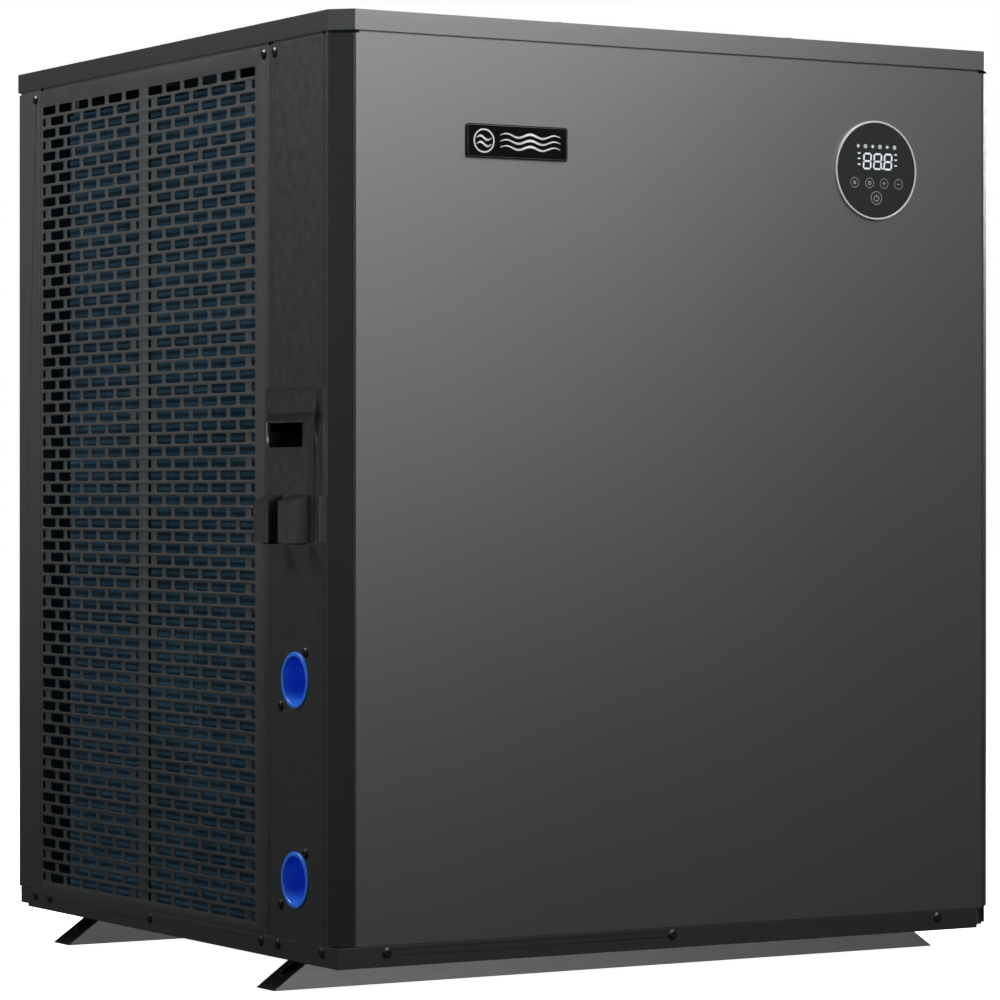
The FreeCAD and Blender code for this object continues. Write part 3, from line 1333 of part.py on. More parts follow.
def valves():
    body = rod("reversing_body", 15, 110, VALVE_X - 55, LINE_Y, VALVE_Z, "+X")
    parts = [body, rod("reversing_inlet", 8, 34, VALVE_X, LINE_Y, VALVE_Z)]
    for number, offset in enumerate((-30, 0, 30)):
        parts.append(rod(f"reversing_stub_{number}", 8, 34, VALVE_X + offset, LINE_Y, VALVE_Z, "-Z"))
    coil_low = VALVE_Z - 12
    solenoid = box("valve_solenoid", VALVE_X - 20, VALVE_X + 20, LINE_Y - 46, LINE_Y - 17,
                   coil_low, coil_low + 26)
    node("reversing_valve", group("reversing_valve", [fuse("reversing_ports", parts), solenoid]))
    valve = [(0, 0), (10, 0), (10, 18), (19, 18), (19, 46), (8, 46), (8, 60), (0, 60)]
    node("expansion_valve", turned("expansion_valve", valve, LIQUID_X, LINE_Y, EXPANSION_LOW))
    drier = [(0, 0), (6.4, 0), (6.4, 10), (17, 22), (17, 90), (6.4, 102), (6.4, 112), (0, 112)]
    node("filter_drier", turned("filter_drier", drier, LIQUID_X, LINE_Y, DRIER_LOW))


def pipe(name, points, bend=14):
    return shaped(name, tube_along(points, PIPE_RADIUS, bend, PIPE_WALL))


def refrigerant_pipes():
    y = LINE_Y
    high = VALVE_Z + 34
    low = VALVE_Z - 34
    crossing = BASE + 400
    summit = BASE + 600
    dip = BASE + 340
    x = D.compressor_x
    compressor_top = COMPRESSOR_LOW + D.compressor_height + 16
    discharge = [(x, y, compressor_top), (x, y, crossing), (0, y, crossing), (0, y, summit),
                 (VALVE_X, y, summit), (VALVE_X, y, high)]
    node("discharge_pipe", pipe("discharge_run", discharge))
    suction = [(VALVE_X, y, low), (VALVE_X, y, dip), (ACCUMULATOR_X, y, dip),
               (ACCUMULATOR_X, y, ACCUMULATOR_LOW + 212)]
    node("suction_pipe", pipe("suction_run", suction))
    gas_x = VALVE_X - 30
    riser_x = gas_x - 38
    loop_low = BASE + 450
    loop_high = BASE + 610
    entry_x = D.exchanger_x + 14
    exchanger_gas = [(gas_x, y, low), (gas_x, y, loop_low), (riser_x, y, loop_low),
                     (riser_x, y, loop_high), (entry_x, y, loop_high), (entry_x, y, EXCHANGER_HIGH)]
    branch_x = VALVE_X + 30
    coil_gas = [(branch_x, y, low), (branch_x, y, COIL_GAS_Z), (branch_x, HEADER_Y, COIL_GAS_Z),
                (HEADER_X + HEADER_RADIUS, HEADER_Y, COIL_GAS_Z)]
    node("gas_pipes", group("gas_pipes", [pipe("exchanger_gas_run", exchanger_gas),
                                          pipe("coil_gas_run", coil_gas)]))
    outlet_z = BASE + 60
    low_run = [(D.exchanger_x + D.exchanger_radius, y, outlet_z), (LIQUID_X, y, outlet_z),
               (LIQUID_X, y, DRIER_LOW)]
    middle_run = [(LIQUID_X, y, DRIER_LOW + 112), (LIQUID_X, y, EXPANSION_LOW)]
    high_run = [(LIQUID_X, y, EXPANSION_LOW + 60), (LIQUID_X, y, LIQUID_Z),
                (LIQUID_X, HEADER_Y + 30, LIQUID_Z),
                (HEADER_X + HEADER_RADIUS + 20, HEADER_Y + 30, LIQUID_Z)]
    node("liquid_pipes", group("liquid_pipes", [pipe("liquid_run_low", low_run),
                                                pipe("liquid_run_middle", middle_run),
                                                pipe("liquid_run_high", high_run)]))


# ---------------------------------------------------------------- electrical

def control_box():
    x0 = D.control_start
    x1 = x0 + D.control_width
    y0 = FRONT + 40
    y1 = y0 + D.control_depth
    z0 = BASE + D.control_low
    z1 = z0 + D.control_height
    sheet = D.sheet
    block = box("control_block", x0, x1, y0, y1, z0, z1)
    hollow = box("control_hollow", x0 + sheet, x1 - sheet, y0 - 5, y1 - sheet, z0 + sheet,
                 z1 - sheet)
    window = box("control_window", SINK_X - SINK_WIDTH / 2 + 12, SINK_X + SINK_WIDTH / 2 - 12,
                 y1 - 5, y1 + 5, SINK_Z - SINK_HEIGHT / 2 + 12, SINK_Z + SINK_HEIGHT / 2 - 12)
    entry = rod("control_entry", 12, 10, x0 + 40, y0 + 40, z0 - 5)
    shell = cut("control_shell", block, [hollow])
    node("control_box", cut("control_box", shell, [window, entry]))
    node("control_lid", box("control_lid", x0 - 2, x1 + 2, y0 - sheet, y0, z0 - 2, z1 + 2))
    board_y = y1 - 14
    parts = [box("board_sheet", x0 + 14, x1 - 14, board_y, board_y + 1.6, z0 + 40, z1 - 14)]
    for number in range(4):
        x = x0 + 60 + number * 46
        parts.append(rod(f"capacitor_{number}", 15, 34, x, board_y + 0.5, z0 + 225, "-Y"))
        parts.append(box(f"relay_{number}", x - 12, x + 12, board_y - 16, board_y + 0.5,
                         z0 + 130, z0 + 150))
    parts.append(box("processor", x0 + 215, x0 + 250, board_y - 3, board_y + 0.5,
                     z0 + 80, z0 + 115))
    node("control_board", fuse("control_board", parts))
    base = [box("terminal_base", x0 + 20, x0 + 180, y1 - 34, y1 - sheet, z0 + 8, z0 + 32)]
    for number in range(9):
        x = x0 + 22 + number * 19
        base.append(box(f"terminal_rib_{number}", x, x + 2, y1 - 44, y1 - 33, z0 + 8, z0 + 32))
    node("terminal_block", fuse("terminal_block", base))
    sink = [box("sink_base", SINK_X - SINK_WIDTH / 2, SINK_X + SINK_WIDTH / 2, y1, y1 + 8,
                SINK_Z - SINK_HEIGHT / 2, SINK_Z + SINK_HEIGHT / 2)]
    fin_count = 15
    for number in range(fin_count):
        x = SINK_X - SINK_WIDTH / 2 + number * (SINK_WIDTH - 2) / (fin_count - 1)
        sink.append(box(f"sink_fin_{number}", x, x + 2, y1 + 7, y1 + 58,
                        SINK_Z - SINK_HEIGHT / 2, SINK_Z + SINK_HEIGHT / 2))
    node("heat_sink", fuse("heat_sink", sink))


def drain_nipple():
    section = [(6.5, -22), (9.5, -22), (9.5, -2), (14, -2), (14, 0), (9.5, 0),
               (9.5, D.sheet), (14, D.sheet), (14, D.sheet + 2), (6.5, D.sheet + 2)]
    return node("drain_nipple", turned("drain_nipple", section, DRAIN_X, DRAIN_Y, BASE))


def build():
    base_tray()
    for rail in FOOT_Y:
        foot(rail)
    mounting_bolts()
    drain_nipple()
    seam = D.seam / 2
    front_run = D.service_start - seam
    back_run = BACK_STRIP - seam
    for side in ("left", "right"):
        post(f"post_front_{side}", side, "front", front_run, D.corner_cut)
        post(f"post_back_{side}", side, "back", back_run, back_run)
    front_panel()
    service_panel()
    plain_panel("side_panel_right", "right", SERVICE_FROM, SERVICE_TO, SIDE_PANEL_HOLES)
    for side in ("left", "right"):
        guard(f"guard_{side}", side, GUARD_FROM, GUARD_TO, SIDE_SLOTS, SIDE_SCREWS[2:5],
              HIGH_SCREWS[1:2])
    guard("guard_back", "back", LEFT + BACK_STRIP + seam, RIGHT - BACK_STRIP - seam, BACK_SLOTS,
          BACK_SCREWS, [])
    mullion_ribs()
    top_frame()
    top_cover()
    side_handle()
    cable_grommets()
    water_port("water_inlet_port", INLET_Z)
    water_port("water_outlet_port", OUTLET_Z)
    port_retainers()
    water_pipes()
    flow_switch()
    heat_exchanger()
    display()
    name_plate()
    fan_shroud()
    fan_guard()
    fan_rotor()
    fan_motor()
    motor_bracket()
    evaporator_fins()
    coil_ends()
    partition()
    compressor()
    valves()
    refrigerant_pipes()
    control_box()
    all_screws()


def check():
    doc.recompute()
    for thing in doc.Objects:
        if "Invalid" in thing.State or "Error" in thing.State:
            raise RuntimeError(f"{thing.Label} did not build: {thing.State}")
    for name, thing in nodes.items():
        if thing.Shape.isNull() or not thing.Shape.isValid():
            raise RuntimeError(f"{name} has no valid shape")


def export():
    os.makedirs("parts", exist_ok=True)
    for name, thing in nodes.items():
        thing.Shape.exportStep(f"parts/{name}.step")


build()
check()
export()
print(f"{len(nodes)} sub-parts written")
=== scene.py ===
import json
import math
import random

import bmesh
import bpy
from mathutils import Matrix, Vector


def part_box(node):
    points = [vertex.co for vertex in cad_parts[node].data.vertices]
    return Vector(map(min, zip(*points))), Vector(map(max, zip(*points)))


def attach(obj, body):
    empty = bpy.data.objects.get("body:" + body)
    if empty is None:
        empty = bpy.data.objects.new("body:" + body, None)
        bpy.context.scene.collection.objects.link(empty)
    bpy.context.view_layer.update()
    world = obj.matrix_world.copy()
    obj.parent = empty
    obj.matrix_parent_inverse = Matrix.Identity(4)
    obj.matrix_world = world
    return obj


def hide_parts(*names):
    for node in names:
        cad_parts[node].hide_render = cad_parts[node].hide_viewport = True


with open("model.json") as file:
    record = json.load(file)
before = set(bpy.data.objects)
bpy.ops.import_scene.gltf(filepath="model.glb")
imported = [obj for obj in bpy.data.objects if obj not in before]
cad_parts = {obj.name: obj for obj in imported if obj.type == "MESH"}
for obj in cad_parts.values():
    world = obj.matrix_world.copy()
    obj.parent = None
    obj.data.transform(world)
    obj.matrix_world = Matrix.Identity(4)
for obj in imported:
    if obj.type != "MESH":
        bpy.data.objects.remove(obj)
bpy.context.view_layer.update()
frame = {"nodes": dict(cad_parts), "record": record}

# Pool heat pump, in metres, in the row frame: +Z up, the front faces -Y, origin on the ground.

nodes = frame["nodes"]
draw = random.Random(7)
MM = 0.001

# ---------------------------------------------------------------- sizes, from the CAD nodes

tray_low, tray_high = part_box("base_tray")
LEFT, FRONT, BASE = tray_low
RIGHT, BACK = tray_high.x, tray_high.y
service_low, service_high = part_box("service_panel")
WALL_LOW = service_low.z + 19.6 * MM
WALL_HIGH = service_high.z - 20 * MM
SHEET = 1.2 * MM
ROW_COUNT = 68
ROW_PITCH = 13.6 * MM
ROW_FIRST = BASE + 39 * MM
SLOT_LENGTH = 35.5 * MM
SLOT_HEIGHT = 10.2 * MM
SLOT_PITCH = 45.5 * MM
SLOT_ROUND = 2.6 * MM
END_SLOT = 7.5 * MM
MULLION = 24 * MM
FIELD_MARGIN = 34 * MM
DISPLAY_X = (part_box("display_lens")[0].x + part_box("display_lens")[1].x) / 2
DISPLAY_Z = (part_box("display_lens")[0].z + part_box("display_lens")[1].z) / 2
LENS_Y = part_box("display_lens")[0].y


# ---------------------------------------------------------------- materials

class Nodes:
    """A small helper that adds and links shader nodes."""

    def __init__(self, name):
        self.material = bpy.data.materials.new(name)
        self.material.use_nodes = True
        self.tree = self.material.node_tree
        self.shader = self.tree.nodes["Principled BSDF"]
        self.place = self.add("ShaderNodeTexCoord").outputs["Object"]

    def add(self, kind, **settings):
        item = self.tree.nodes.new(kind)
        for key, value in settings.items():
            if hasattr(item, key):
                setattr(item, key, value)
            else:
                item.inputs[key.replace("_", " ")].default_value = value
        return item

    def link(self, source, target):
        self.tree.links.new(source, target)

    def stretched(self, scale):
        mapping = self.add("ShaderNodeMapping")
        mapping.inputs["Scale"].default_value = scale
        self.link(self.place, mapping.inputs["Vector"])
        return mapping.outputs["Vector"]

    def noise(self, scale, detail=2.0, stretch=None, roughness=0.5):
        item = self.add("ShaderNodeTexNoise", Scale=scale, Detail=detail, Roughness=roughness)
        self.link(self.stretched(stretch) if stretch else self.place, item.inputs["Vector"])
        return item.outputs["Fac"]

    def spread(self, source, low, high):
        """Map the middle of a noise to the range low to high."""
        item = self.add("ShaderNodeMapRange")
        item.inputs["From Min"].default_value = 0.25
        item.inputs["From Max"].default_value = 0.75
        item.inputs["To Min"].default_value = low
        item.inputs["To Max"].default_value = high
        self.link(source, item.inputs["Value"])
        return item.outputs["Result"]

    def times(self, one, other):
        item = self.add("ShaderNodeMath", operation="MULTIPLY")
        self.link(one, item.inputs[0])
        self.link(other, item.inputs[1])
        return item.outputs[0]

    def tinted(self, colour, factor):
        """The colour, brightened or darkened by a factor that varies over the surface."""
        item = self.add("ShaderNodeMix", data_type="RGBA", blend_type="MULTIPLY")
        item.inputs["Factor"].default_value = 1.0
        item.inputs["A"].default_value = (*colour, 1)
        self.link(factor, item.inputs["B"])
        self.link(item.outputs["Result"], self.shader.inputs["Base Color"])
        return item

    def bumped(self, height, strength, distance):
        item = self.add("ShaderNodeBump")
        item.inputs["Strength"].default_value = strength
        item.inputs["Distance"].default_value = distance
        self.link(height, item.inputs["Height"])
        self.link(item.outputs["Normal"], self.shader.inputs["Normal"])


def rgb(r, g, b):
    """Display values from 0 to 255 to linear colour."""
    def linear(value):
        share = value / 255
        return share / 12.92 if share <= 0.04045 else ((share + 0.055) / 1.055) ** 2.4
    return linear(r), linear(g), linear(b)


def finish(name, colour, roughness, metallic=0.0, grain=900, bump=0.25, depth=0.00012,
           mottle=0.08, patch=7, stretch=None, rough_vary=0.06, coat=0.0, specular=0.5):
    """A surface with slow colour drift, fine speckle, uneven gloss and a fine bump."""
    tool = Nodes(name)
    slow = tool.spread(tool.noise(patch, 3), 1 - mottle, 1 + mottle)
    fine = tool.noise(grain, 2, stretch)
    speckle = tool.spread(fine, 1 - mottle * 0.8, 1 + mottle * 0.8)
    tool.tinted(colour, tool.times(slow, speckle))
    gloss = tool.noise(grain * 0.07, 3, stretch)
    tool.link(tool.spread(gloss, roughness - rough_vary, roughness + rough_vary),
              tool.shader.inputs["Roughness"])
    tool.bumped(fine, bump, depth)
    tool.shader.inputs["Metallic"].default_value = metallic
    tool.shader.inputs["Specular IOR Level"].default_value = specular
    tool.shader.inputs["Coat Weight"].default_value = coat
    tool.shader.inputs["Coat Roughness"].default_value = 0.15
    return tool


def plain(*args, **kwargs):
    return finish(*args, **kwargs).material


MATERIALS = {
    "casing": plain("powder_coat", (0.046, 0.049, 0.048), 0.46, 0.35, 1100, 0.30, mottle=0.05),
    "front_finish": plain("metallic_coat", (0.20, 0.205, 0.203), 0.42, 0.80, 1500, 0.05,
                          mottle=0.02, patch=4, rough_vary=0.012),
    "foot_steel": plain("foot_coat", (0.075, 0.078, 0.077), 0.5, 0.3, 900, 0.3),
    "zinc": plain("zinc_plate", (0.55, 0.54, 0.50), 0.34, 1.0, 600, 0.15, mottle=0.12, patch=60),
    "galvanised": plain("galvanised_sheet", (0.50, 0.51, 0.52), 0.38, 1.0, 90, 0.05,
                        mottle=0.14, patch=40),
    "black_plastic": plain("textured_plastic", (0.021, 0.022, 0.022), 0.42, 0.0, 1600, 0.35,
                           mottle=0.06),
    "grey_plastic": plain("moulded_plastic", (0.30, 0.31, 0.32), 0.45, 0.0, 700, 0.15),
    "rubber": plain("rubber", (0.014, 0.014, 0.014), 0.7, 0.0, 1200, 0.4, mottle=0.15),
    "stainless": plain("stainless_steel", (0.60, 0.60, 0.60), 0.28, 1.0, 500, 0.12,
                       stretch=(1, 1, 0.03)),
    "titanium": plain("titanium_tube", (0.42, 0.40, 0.37), 0.3, 1.0, 500, 0.1),
    "bezel_metal": plain("polished_ring", (0.78, 0.79, 0.79), 0.32, 0.35, 900, 0.05,
                         mottle=0.03, rough_vary=0.03),
    "plate_gloss": plain("gloss_plate", (0.002, 0.002, 0.002), 0.10, 0.0, 400, 0.02,
                         rough_vary=0.03, specular=0.08),
    "guard_wire": plain("coated_wire", (0.022, 0.023, 0.023), 0.38, 0.0, 1300, 0.3),
    "fan_plastic": plain("glass_filled_nylon", (0.055, 0.056, 0.056), 0.45, 0.0, 500, 0.3,
                         mottle=0.12),
    "motor_paint": plain("motor_paint", (0.035, 0.035, 0.038), 0.4, 0.2, 900, 0.3),
    "copper": plain("copper_tube", (0.72, 0.32, 0.17), 0.28, 1.0, 260, 0.08, mottle=0.18,
                    patch=30),
    "compressor_paint": plain("black_enamel", (0.012, 0.012, 0.013), 0.25, 0.0, 300, 0.2),
    "brass": plain("brass_body", (0.62, 0.43, 0.16), 0.26, 1.0, 400, 0.08, mottle=0.1),
    "board_green": plain("solder_resist", (0.012, 0.11, 0.035), 0.3, 0.0, 500, 0.2, mottle=0.3,
                         patch=220),
    "sink_aluminium": plain("extruded_aluminium", (0.68, 0.69, 0.70), 0.32, 1.0, 700, 0.15,
                            stretch=(1, 1, 0.04)),
    "screw_black": plain("black_zinc", (0.05, 0.05, 0.048), 0.33, 0.7, 900, 0.2, mottle=0.15),
}


def blue_plastic():
    """Glossy moulded plastic with a thin clear coat."""
    tool = finish("blue_union", (0.040, 0.200, 0.88), 0.28, 0.0, 700, 0.08, mottle=0.06,
                  specular=0.5)
    tool.shader.inputs["Coat Weight"].default_value = 0.4
    return tool.material


def lens_glass():
    tool = finish("display_glass", (0.030, 0.031, 0.032), 0.16, 0.0, 300, 0.02, mottle=0.03,
                  rough_vary=0.03, specular=0.5)
    tool.shader.inputs["Coat Weight"].default_value = 0.6
    return tool.material


def fin_coat():
    """Blue coated fins: every fin a little different, with painted shade in a darker line at each
    tube row and painted light between rows.
    """
    tool = Nodes("hydrophilic_fins")
    wave = tool.add("ShaderNodeTexWave", wave_type="BANDS", bands_direction="Z", Scale=39.6,
                    Distortion=0.6, Detail=1.0)
    tool.link(tool.place, wave.inputs["Vector"])
    # painted shade and painted light: bands along the height, darker at each tube row and lighter
    # between rows
    tube_row_shade = tool.spread(wave.outputs["Fac"], 0.45, 1.15)
    slow = tool.spread(tool.noise(9, 3), 0.7, 1.25)
    streaks = tool.spread(tool.noise(300, 2, (1, 1, 0.02)), 0.8, 1.2)
    tool.tinted((0.058, 0.140, 0.200), tool.times(tool.times(tube_row_shade, slow), streaks))
    tool.bumped(tool.noise(900, 2), 0.15, 0.0001)
    tool.shader.inputs["Roughness"].default_value = 0.45
    tool.shader.inputs["Metallic"].default_value = 0.3
    return tool.material


def glowing(name, colour, strength):
    """A lit mark behind the glass, a little uneven like a printed diffuser."""
    tool = Nodes(name)
    uneven = tool.spread(tool.noise(500, 2), 0.85, 1.05)
    mix = tool.tinted(colour, uneven)
    tool.link(mix.outputs["Result"], tool.shader.inputs["Emission Color"])
    tool.shader.inputs["Emission Strength"].default_value = strength
    tool.shader.inputs["Roughness"].default_value = 0.4
    return tool.material


MATERIALS["blue_plastic"] = blue_plastic()
MATERIALS["display_glass"] = lens_glass()
MATERIALS["fin_aluminium"] = fin_coat()
ICON_GLOW = glowing("icon_glow", (0.62, 0.66, 0.68), 0.45)
KEY_GLOW = glowing("key_glow", (0.30, 0.31, 0.32), 0.20)
PRINT_GREY = plain("printed_grey", (0.045, 0.045, 0.045), 0.4, 0.0, 600, 0.05, mottle=0.04)
PRINT_WHITE = plain("printed_white", (0.72, 0.72, 0.71), 0.4, 0.0, 600, 0.05, mottle=0.04)

for entry in frame["record"]["subparts"]:
    item = nodes[entry["node"]]
    item.data.materials.clear()
    item.data.materials.append(MATERIALS[entry["material_slot"]])


# ---------------------------------------------------------------- mesh tools

def add_piece(name, mesh, slot, body="casing", material=None, angle=35):
    mesh.polygons.foreach_set("use_smooth", [True] * len(mesh.polygons))
    mesh.set_sharp_from_angle(angle=math.radians(angle))
    mesh.materials.clear()
    mesh.materials.append(material or MATERIALS[slot])
    item = bpy.data.objects.new(name, mesh)
    bpy.context.scene.collection.objects.link(item)
    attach(item, body)
    return item


def mesh_of(bm, name):
    bmesh.ops.recalc_face_normals(bm, faces=bm.faces)
    mesh = bpy.data.meshes.new(name)
    bm.to_mesh(mesh)
    bm.free()
    return mesh


def bevelled_box(bm, low, high, bevel, segments=2):
    """A box with rounded edges, added to bm."""
    made = bmesh.ops.create_cube(bm, size=1.0)
    size = Vector(high) - Vector(low)
    middle = (Vector(high) + Vector(low)) / 2
    for vert in made["verts"]:
        vert.co = middle + Vector((vert.co.x * size.x, vert.co.y * size.y, vert.co.z * size.z))
    edges = {edge for vert in made["verts"] for edge in vert.link_edges}
    bmesh.ops.bevel(bm, geom=list(edges), offset=bevel, segments=segments, profile=0.5,
                    affect="EDGES")


def soften(name, width, segments=2, angle=30):
    """Round the hard edges of a CAD node a little, so that they catch the light."""
    item = nodes[name]
    weld = item.modifiers.new("weld", "WELD")
    weld.merge_threshold = 0.000005
    bevel = item.modifiers.new("edge", "BEVEL")
    bevel.width = width
    bevel.segments = segments
    bevel.limit_method = "ANGLE"
    bevel.angle_limit = math.radians(angle)
    bevel.harden_normals = True
    bevel.use_clamp_overlap = True


def smooth_node(name, angle=32):
    """Smooth the rounds of a CAD node while its flats stay flat."""
    mesh = nodes[name].data
    mesh.polygons.foreach_set("use_smooth", [True] * len(mesh.polygons))
    mesh.set_sharp_from_angle(angle=math.radians(angle))
    weights = nodes[name].modifiers.new("flats", "WEIGHTED_NORMAL")
    weights.mode = "FACE_AREA"
    weights.weight = 100
    weights.keep_sharp = True


def rounded_loop(u, v, width, height, radius, steps=3):
    """Corner points of a rounded rectangle, anticlockwise."""
    points = []
    corners = [(u + width - radius, v + radius, -90), (u + width - radius, v + height - radius, 0),
               (u + radius, v + height - radius, 90), (u + radius, v + radius, 180)]
    for x, y, start in corners:
        for step in range(steps + 1):
            turn = math.radians(start + 90 * step / steps)
            points.append((x + radius * math.cos(turn), y + radius * math.sin(turn)))
    return points


def plate_mesh(name, outlines, thickness, rim):
    """A flat plate in the XY plane, centred on it, with rounded rims; later outlines are holes."""
    curve = bpy.data.curves.new(name, "CURVE")
    curve.dimensions = "2D"
    curve.fill_mode = "BOTH"
    curve.extrude = thickness / 2 - rim
    curve.bevel_depth = rim
    curve.bevel_resolution = 1
    curve.offset = -rim
    for points in outlines:
        spline = curve.splines.new("POLY")
        spline.points.add(len(points) - 1)
        for point, (x, y) in zip(spline.points, points):
            point.co = (x, y, 0, 1)
        spline.use_cyclic_u = True
    holder = bpy.data.objects.new(name, curve)
    bpy.context.scene.collection.objects.link(holder)
    graph = bpy.context.evaluated_depsgraph_get()
    mesh = bpy.data.meshes.new_from_object(holder.evaluated_get(graph))
    bpy.data.objects.remove(holder)
    bpy.data.curves.remove(curve)
    return mesh


def swept(name, points, radius, cyclic=False, resolution=3):
    """A round wire or tube along a polyline."""
    curve = bpy.data.curves.new(name, "CURVE")
    curve.dimensions = "3D"
    curve.bevel_depth = radius
    curve.bevel_resolution = resolution
    curve.use_fill_caps = True
    spline = curve.splines.new("POLY")
    spline.points.add(len(points) - 1)
    for point, place in zip(spline.points, points):
        point.co = (*place, 1)
    spline.use_cyclic_u = cyclic
    holder = bpy.data.objects.new(name, curve)
    bpy.context.scene.collection.objects.link(holder)
    graph = bpy.context.evaluated_depsgraph_get()
    mesh = bpy.data.meshes.new_from_object(holder.evaluated_get(graph))
    bpy.data.objects.remove(holder)
    bpy.data.curves.remove(curve)
    return mesh


def join_meshes(name, parts):
    bm = bmesh.new()
    for part in parts:
        bm.from_mesh(part)
        bpy.data.meshes.remove(part)
    bmesh.ops.remove_doubles(bm, verts=bm.verts, dist=0.000002)
    mesh = bpy.data.meshes.new(name)
    bm.to_mesh(mesh)
    bm.free()
    return mesh


# ---------------------------------------------------------------- perforated walls

def slot_loops(full_slots, origin):
    """Rounded slots of one field, bottom row first; every second row is staggered."""
    field = (full_slots - 1) * SLOT_PITCH + SLOT_LENGTH
    for number in range(ROW_COUNT):
        low = ROW_FIRST + number * ROW_PITCH - SLOT_HEIGHT / 2
        if number % 2:
            spans = [(index * SLOT_PITCH, SLOT_LENGTH) for index in range(full_slots)]
        else:
            spans = [(SLOT_PITCH / 2 + index * SLOT_PITCH, SLOT_LENGTH)
                     for index in range(full_slots - 1)]
            spans += [(0, END_SLOT), (field - END_SLOT, END_SLOT)]
        for begin, width in spans:
            yield rounded_loop(origin + begin, low, width, SLOT_HEIGHT, SLOT_ROUND)


def place_on_wall(mesh, side):
    """Map plate coordinates (u, v, w) to a wall: u runs along it, v is up, w points out."""
    for vert in mesh.vertices:
        u, v, w = vert.co
        if side == "left":
            vert.co = (LEFT + SHEET / 2 - w, u, v)
        elif side == "right":
            vert.co = (RIGHT - SHEET / 2 + w, u, v)
        else:
            vert.co = (u, BACK - SHEET / 2 + w, v)
    bm = bmesh.new()
    bm.from_mesh(mesh)
    bmesh.ops.remove_doubles(bm, verts=bm.verts, dist=0.000002)
    bmesh.ops.recalc_face_normals(bm, faces=bm.faces)
    bm.to_mesh(mesh)
    bm.free()


def wall_block(bm, side, start, end, inner, outer, low, high, bevel):
    """A rounded block on a wall, between two depths behind its outer face."""
    if side == "left":
        corners = (LEFT + outer, start, low), (LEFT + inner, end, high)
    elif side == "right":
        corners = (RIGHT - inner, start, low), (RIGHT - outer, end, high)
    else:
        corners = (start, BACK - inner, low), (end, BACK - outer, high)
    bevelled_box(bm, *corners, bevel)


def build_guard(node, side, full_slots):
    low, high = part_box(node)
    along = 0 if side == "back" else 1
    start, end = low[along], high[along]
    outlines = [rounded_loop(start, WALL_LOW, end - start, WALL_HIGH - WALL_LOW, 0.4 * MM)]
    field = (full_slots - 1) * SLOT_PITCH + SLOT_LENGTH
    first = start + FIELD_MARGIN
    for origin in (first, first + field + MULLION):
        outlines += list(slot_loops(full_slots, origin))
    sheet = plate_mesh(node + "_sheet", outlines, SHEET, 0.22 * MM)
    place_on_wall(sheet, side)
    bm = bmesh.new()
    for near, far in ((start, start + SHEET), (end - SHEET, end)):
        wall_block(bm, side, near, far, 14 * MM, 0.5 * MM, WALL_LOW, WALL_HIGH, 0.3 * MM)
    inset = 4 * SHEET
    for tab_low, tab_high in ((low.z, WALL_LOW + 6 * MM), (WALL_HIGH - 6 * MM, high.z)):
        wall_block(bm, side, start + inset, end - inset, 2 * SHEET, SHEET * 0.9, tab_low, tab_high,
                   0.2 * MM)
    folds = mesh_of(bm, node + "_folds")
    item = add_piece(node + "_perforated", join_meshes(node, [sheet, folds]), "casing")
    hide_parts(node)


build_guard("guard_left", "left", 6)
build_guard("guard_right", "right", 6)
build_guard("guard_back", "back", 7)


# ---------------------------------------------------------------- evaporator

def coil_stations(pitch):
    """Points and inward directions along the outside of the coil, left end to right end."""
    low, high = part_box("evaporator_fins")
    bend = 90 * MM
    straight = high.y - bend - low.y
    half = high.x - bend
    arc = bend * math.pi / 2
    total = 2 * straight + 2 * half + 2 * arc
    count = int(total / pitch)
    for number in range(count + 1):
        s = 0.6 * MM + (total - 1.2 * MM) * number / count
        if s < straight:
            yield Vector((low.x, low.y + s, 0)), Vector((1, 0, 0))
        elif s < straight + arc:
            turn = (s - straight) / bend
            inward = Vector((math.cos(turn), -math.sin(turn), 0))
            centre = Vector((low.x + bend, high.y - bend, 0))
            yield centre - inward * bend, inward
        elif s < straight + arc + 2 * half:
            yield Vector((low.x + bend + s - straight - arc, high.y, 0)), Vector((0, -1, 0))
        elif s < straight + 2 * arc + 2 * half:
            turn = (s - straight - arc - 2 * half) / bend
            inward = Vector((-math.sin(turn), -math.cos(turn), 0))
            centre = Vector((high.x - bend, high.y - bend, 0))
            yield centre - inward * bend, inward
        else:
            left_over = s - (straight + 2 * arc + 2 * half)
            yield Vector((high.x, high.y - bend - left_over, 0)), Vector((-1, 0, 0))


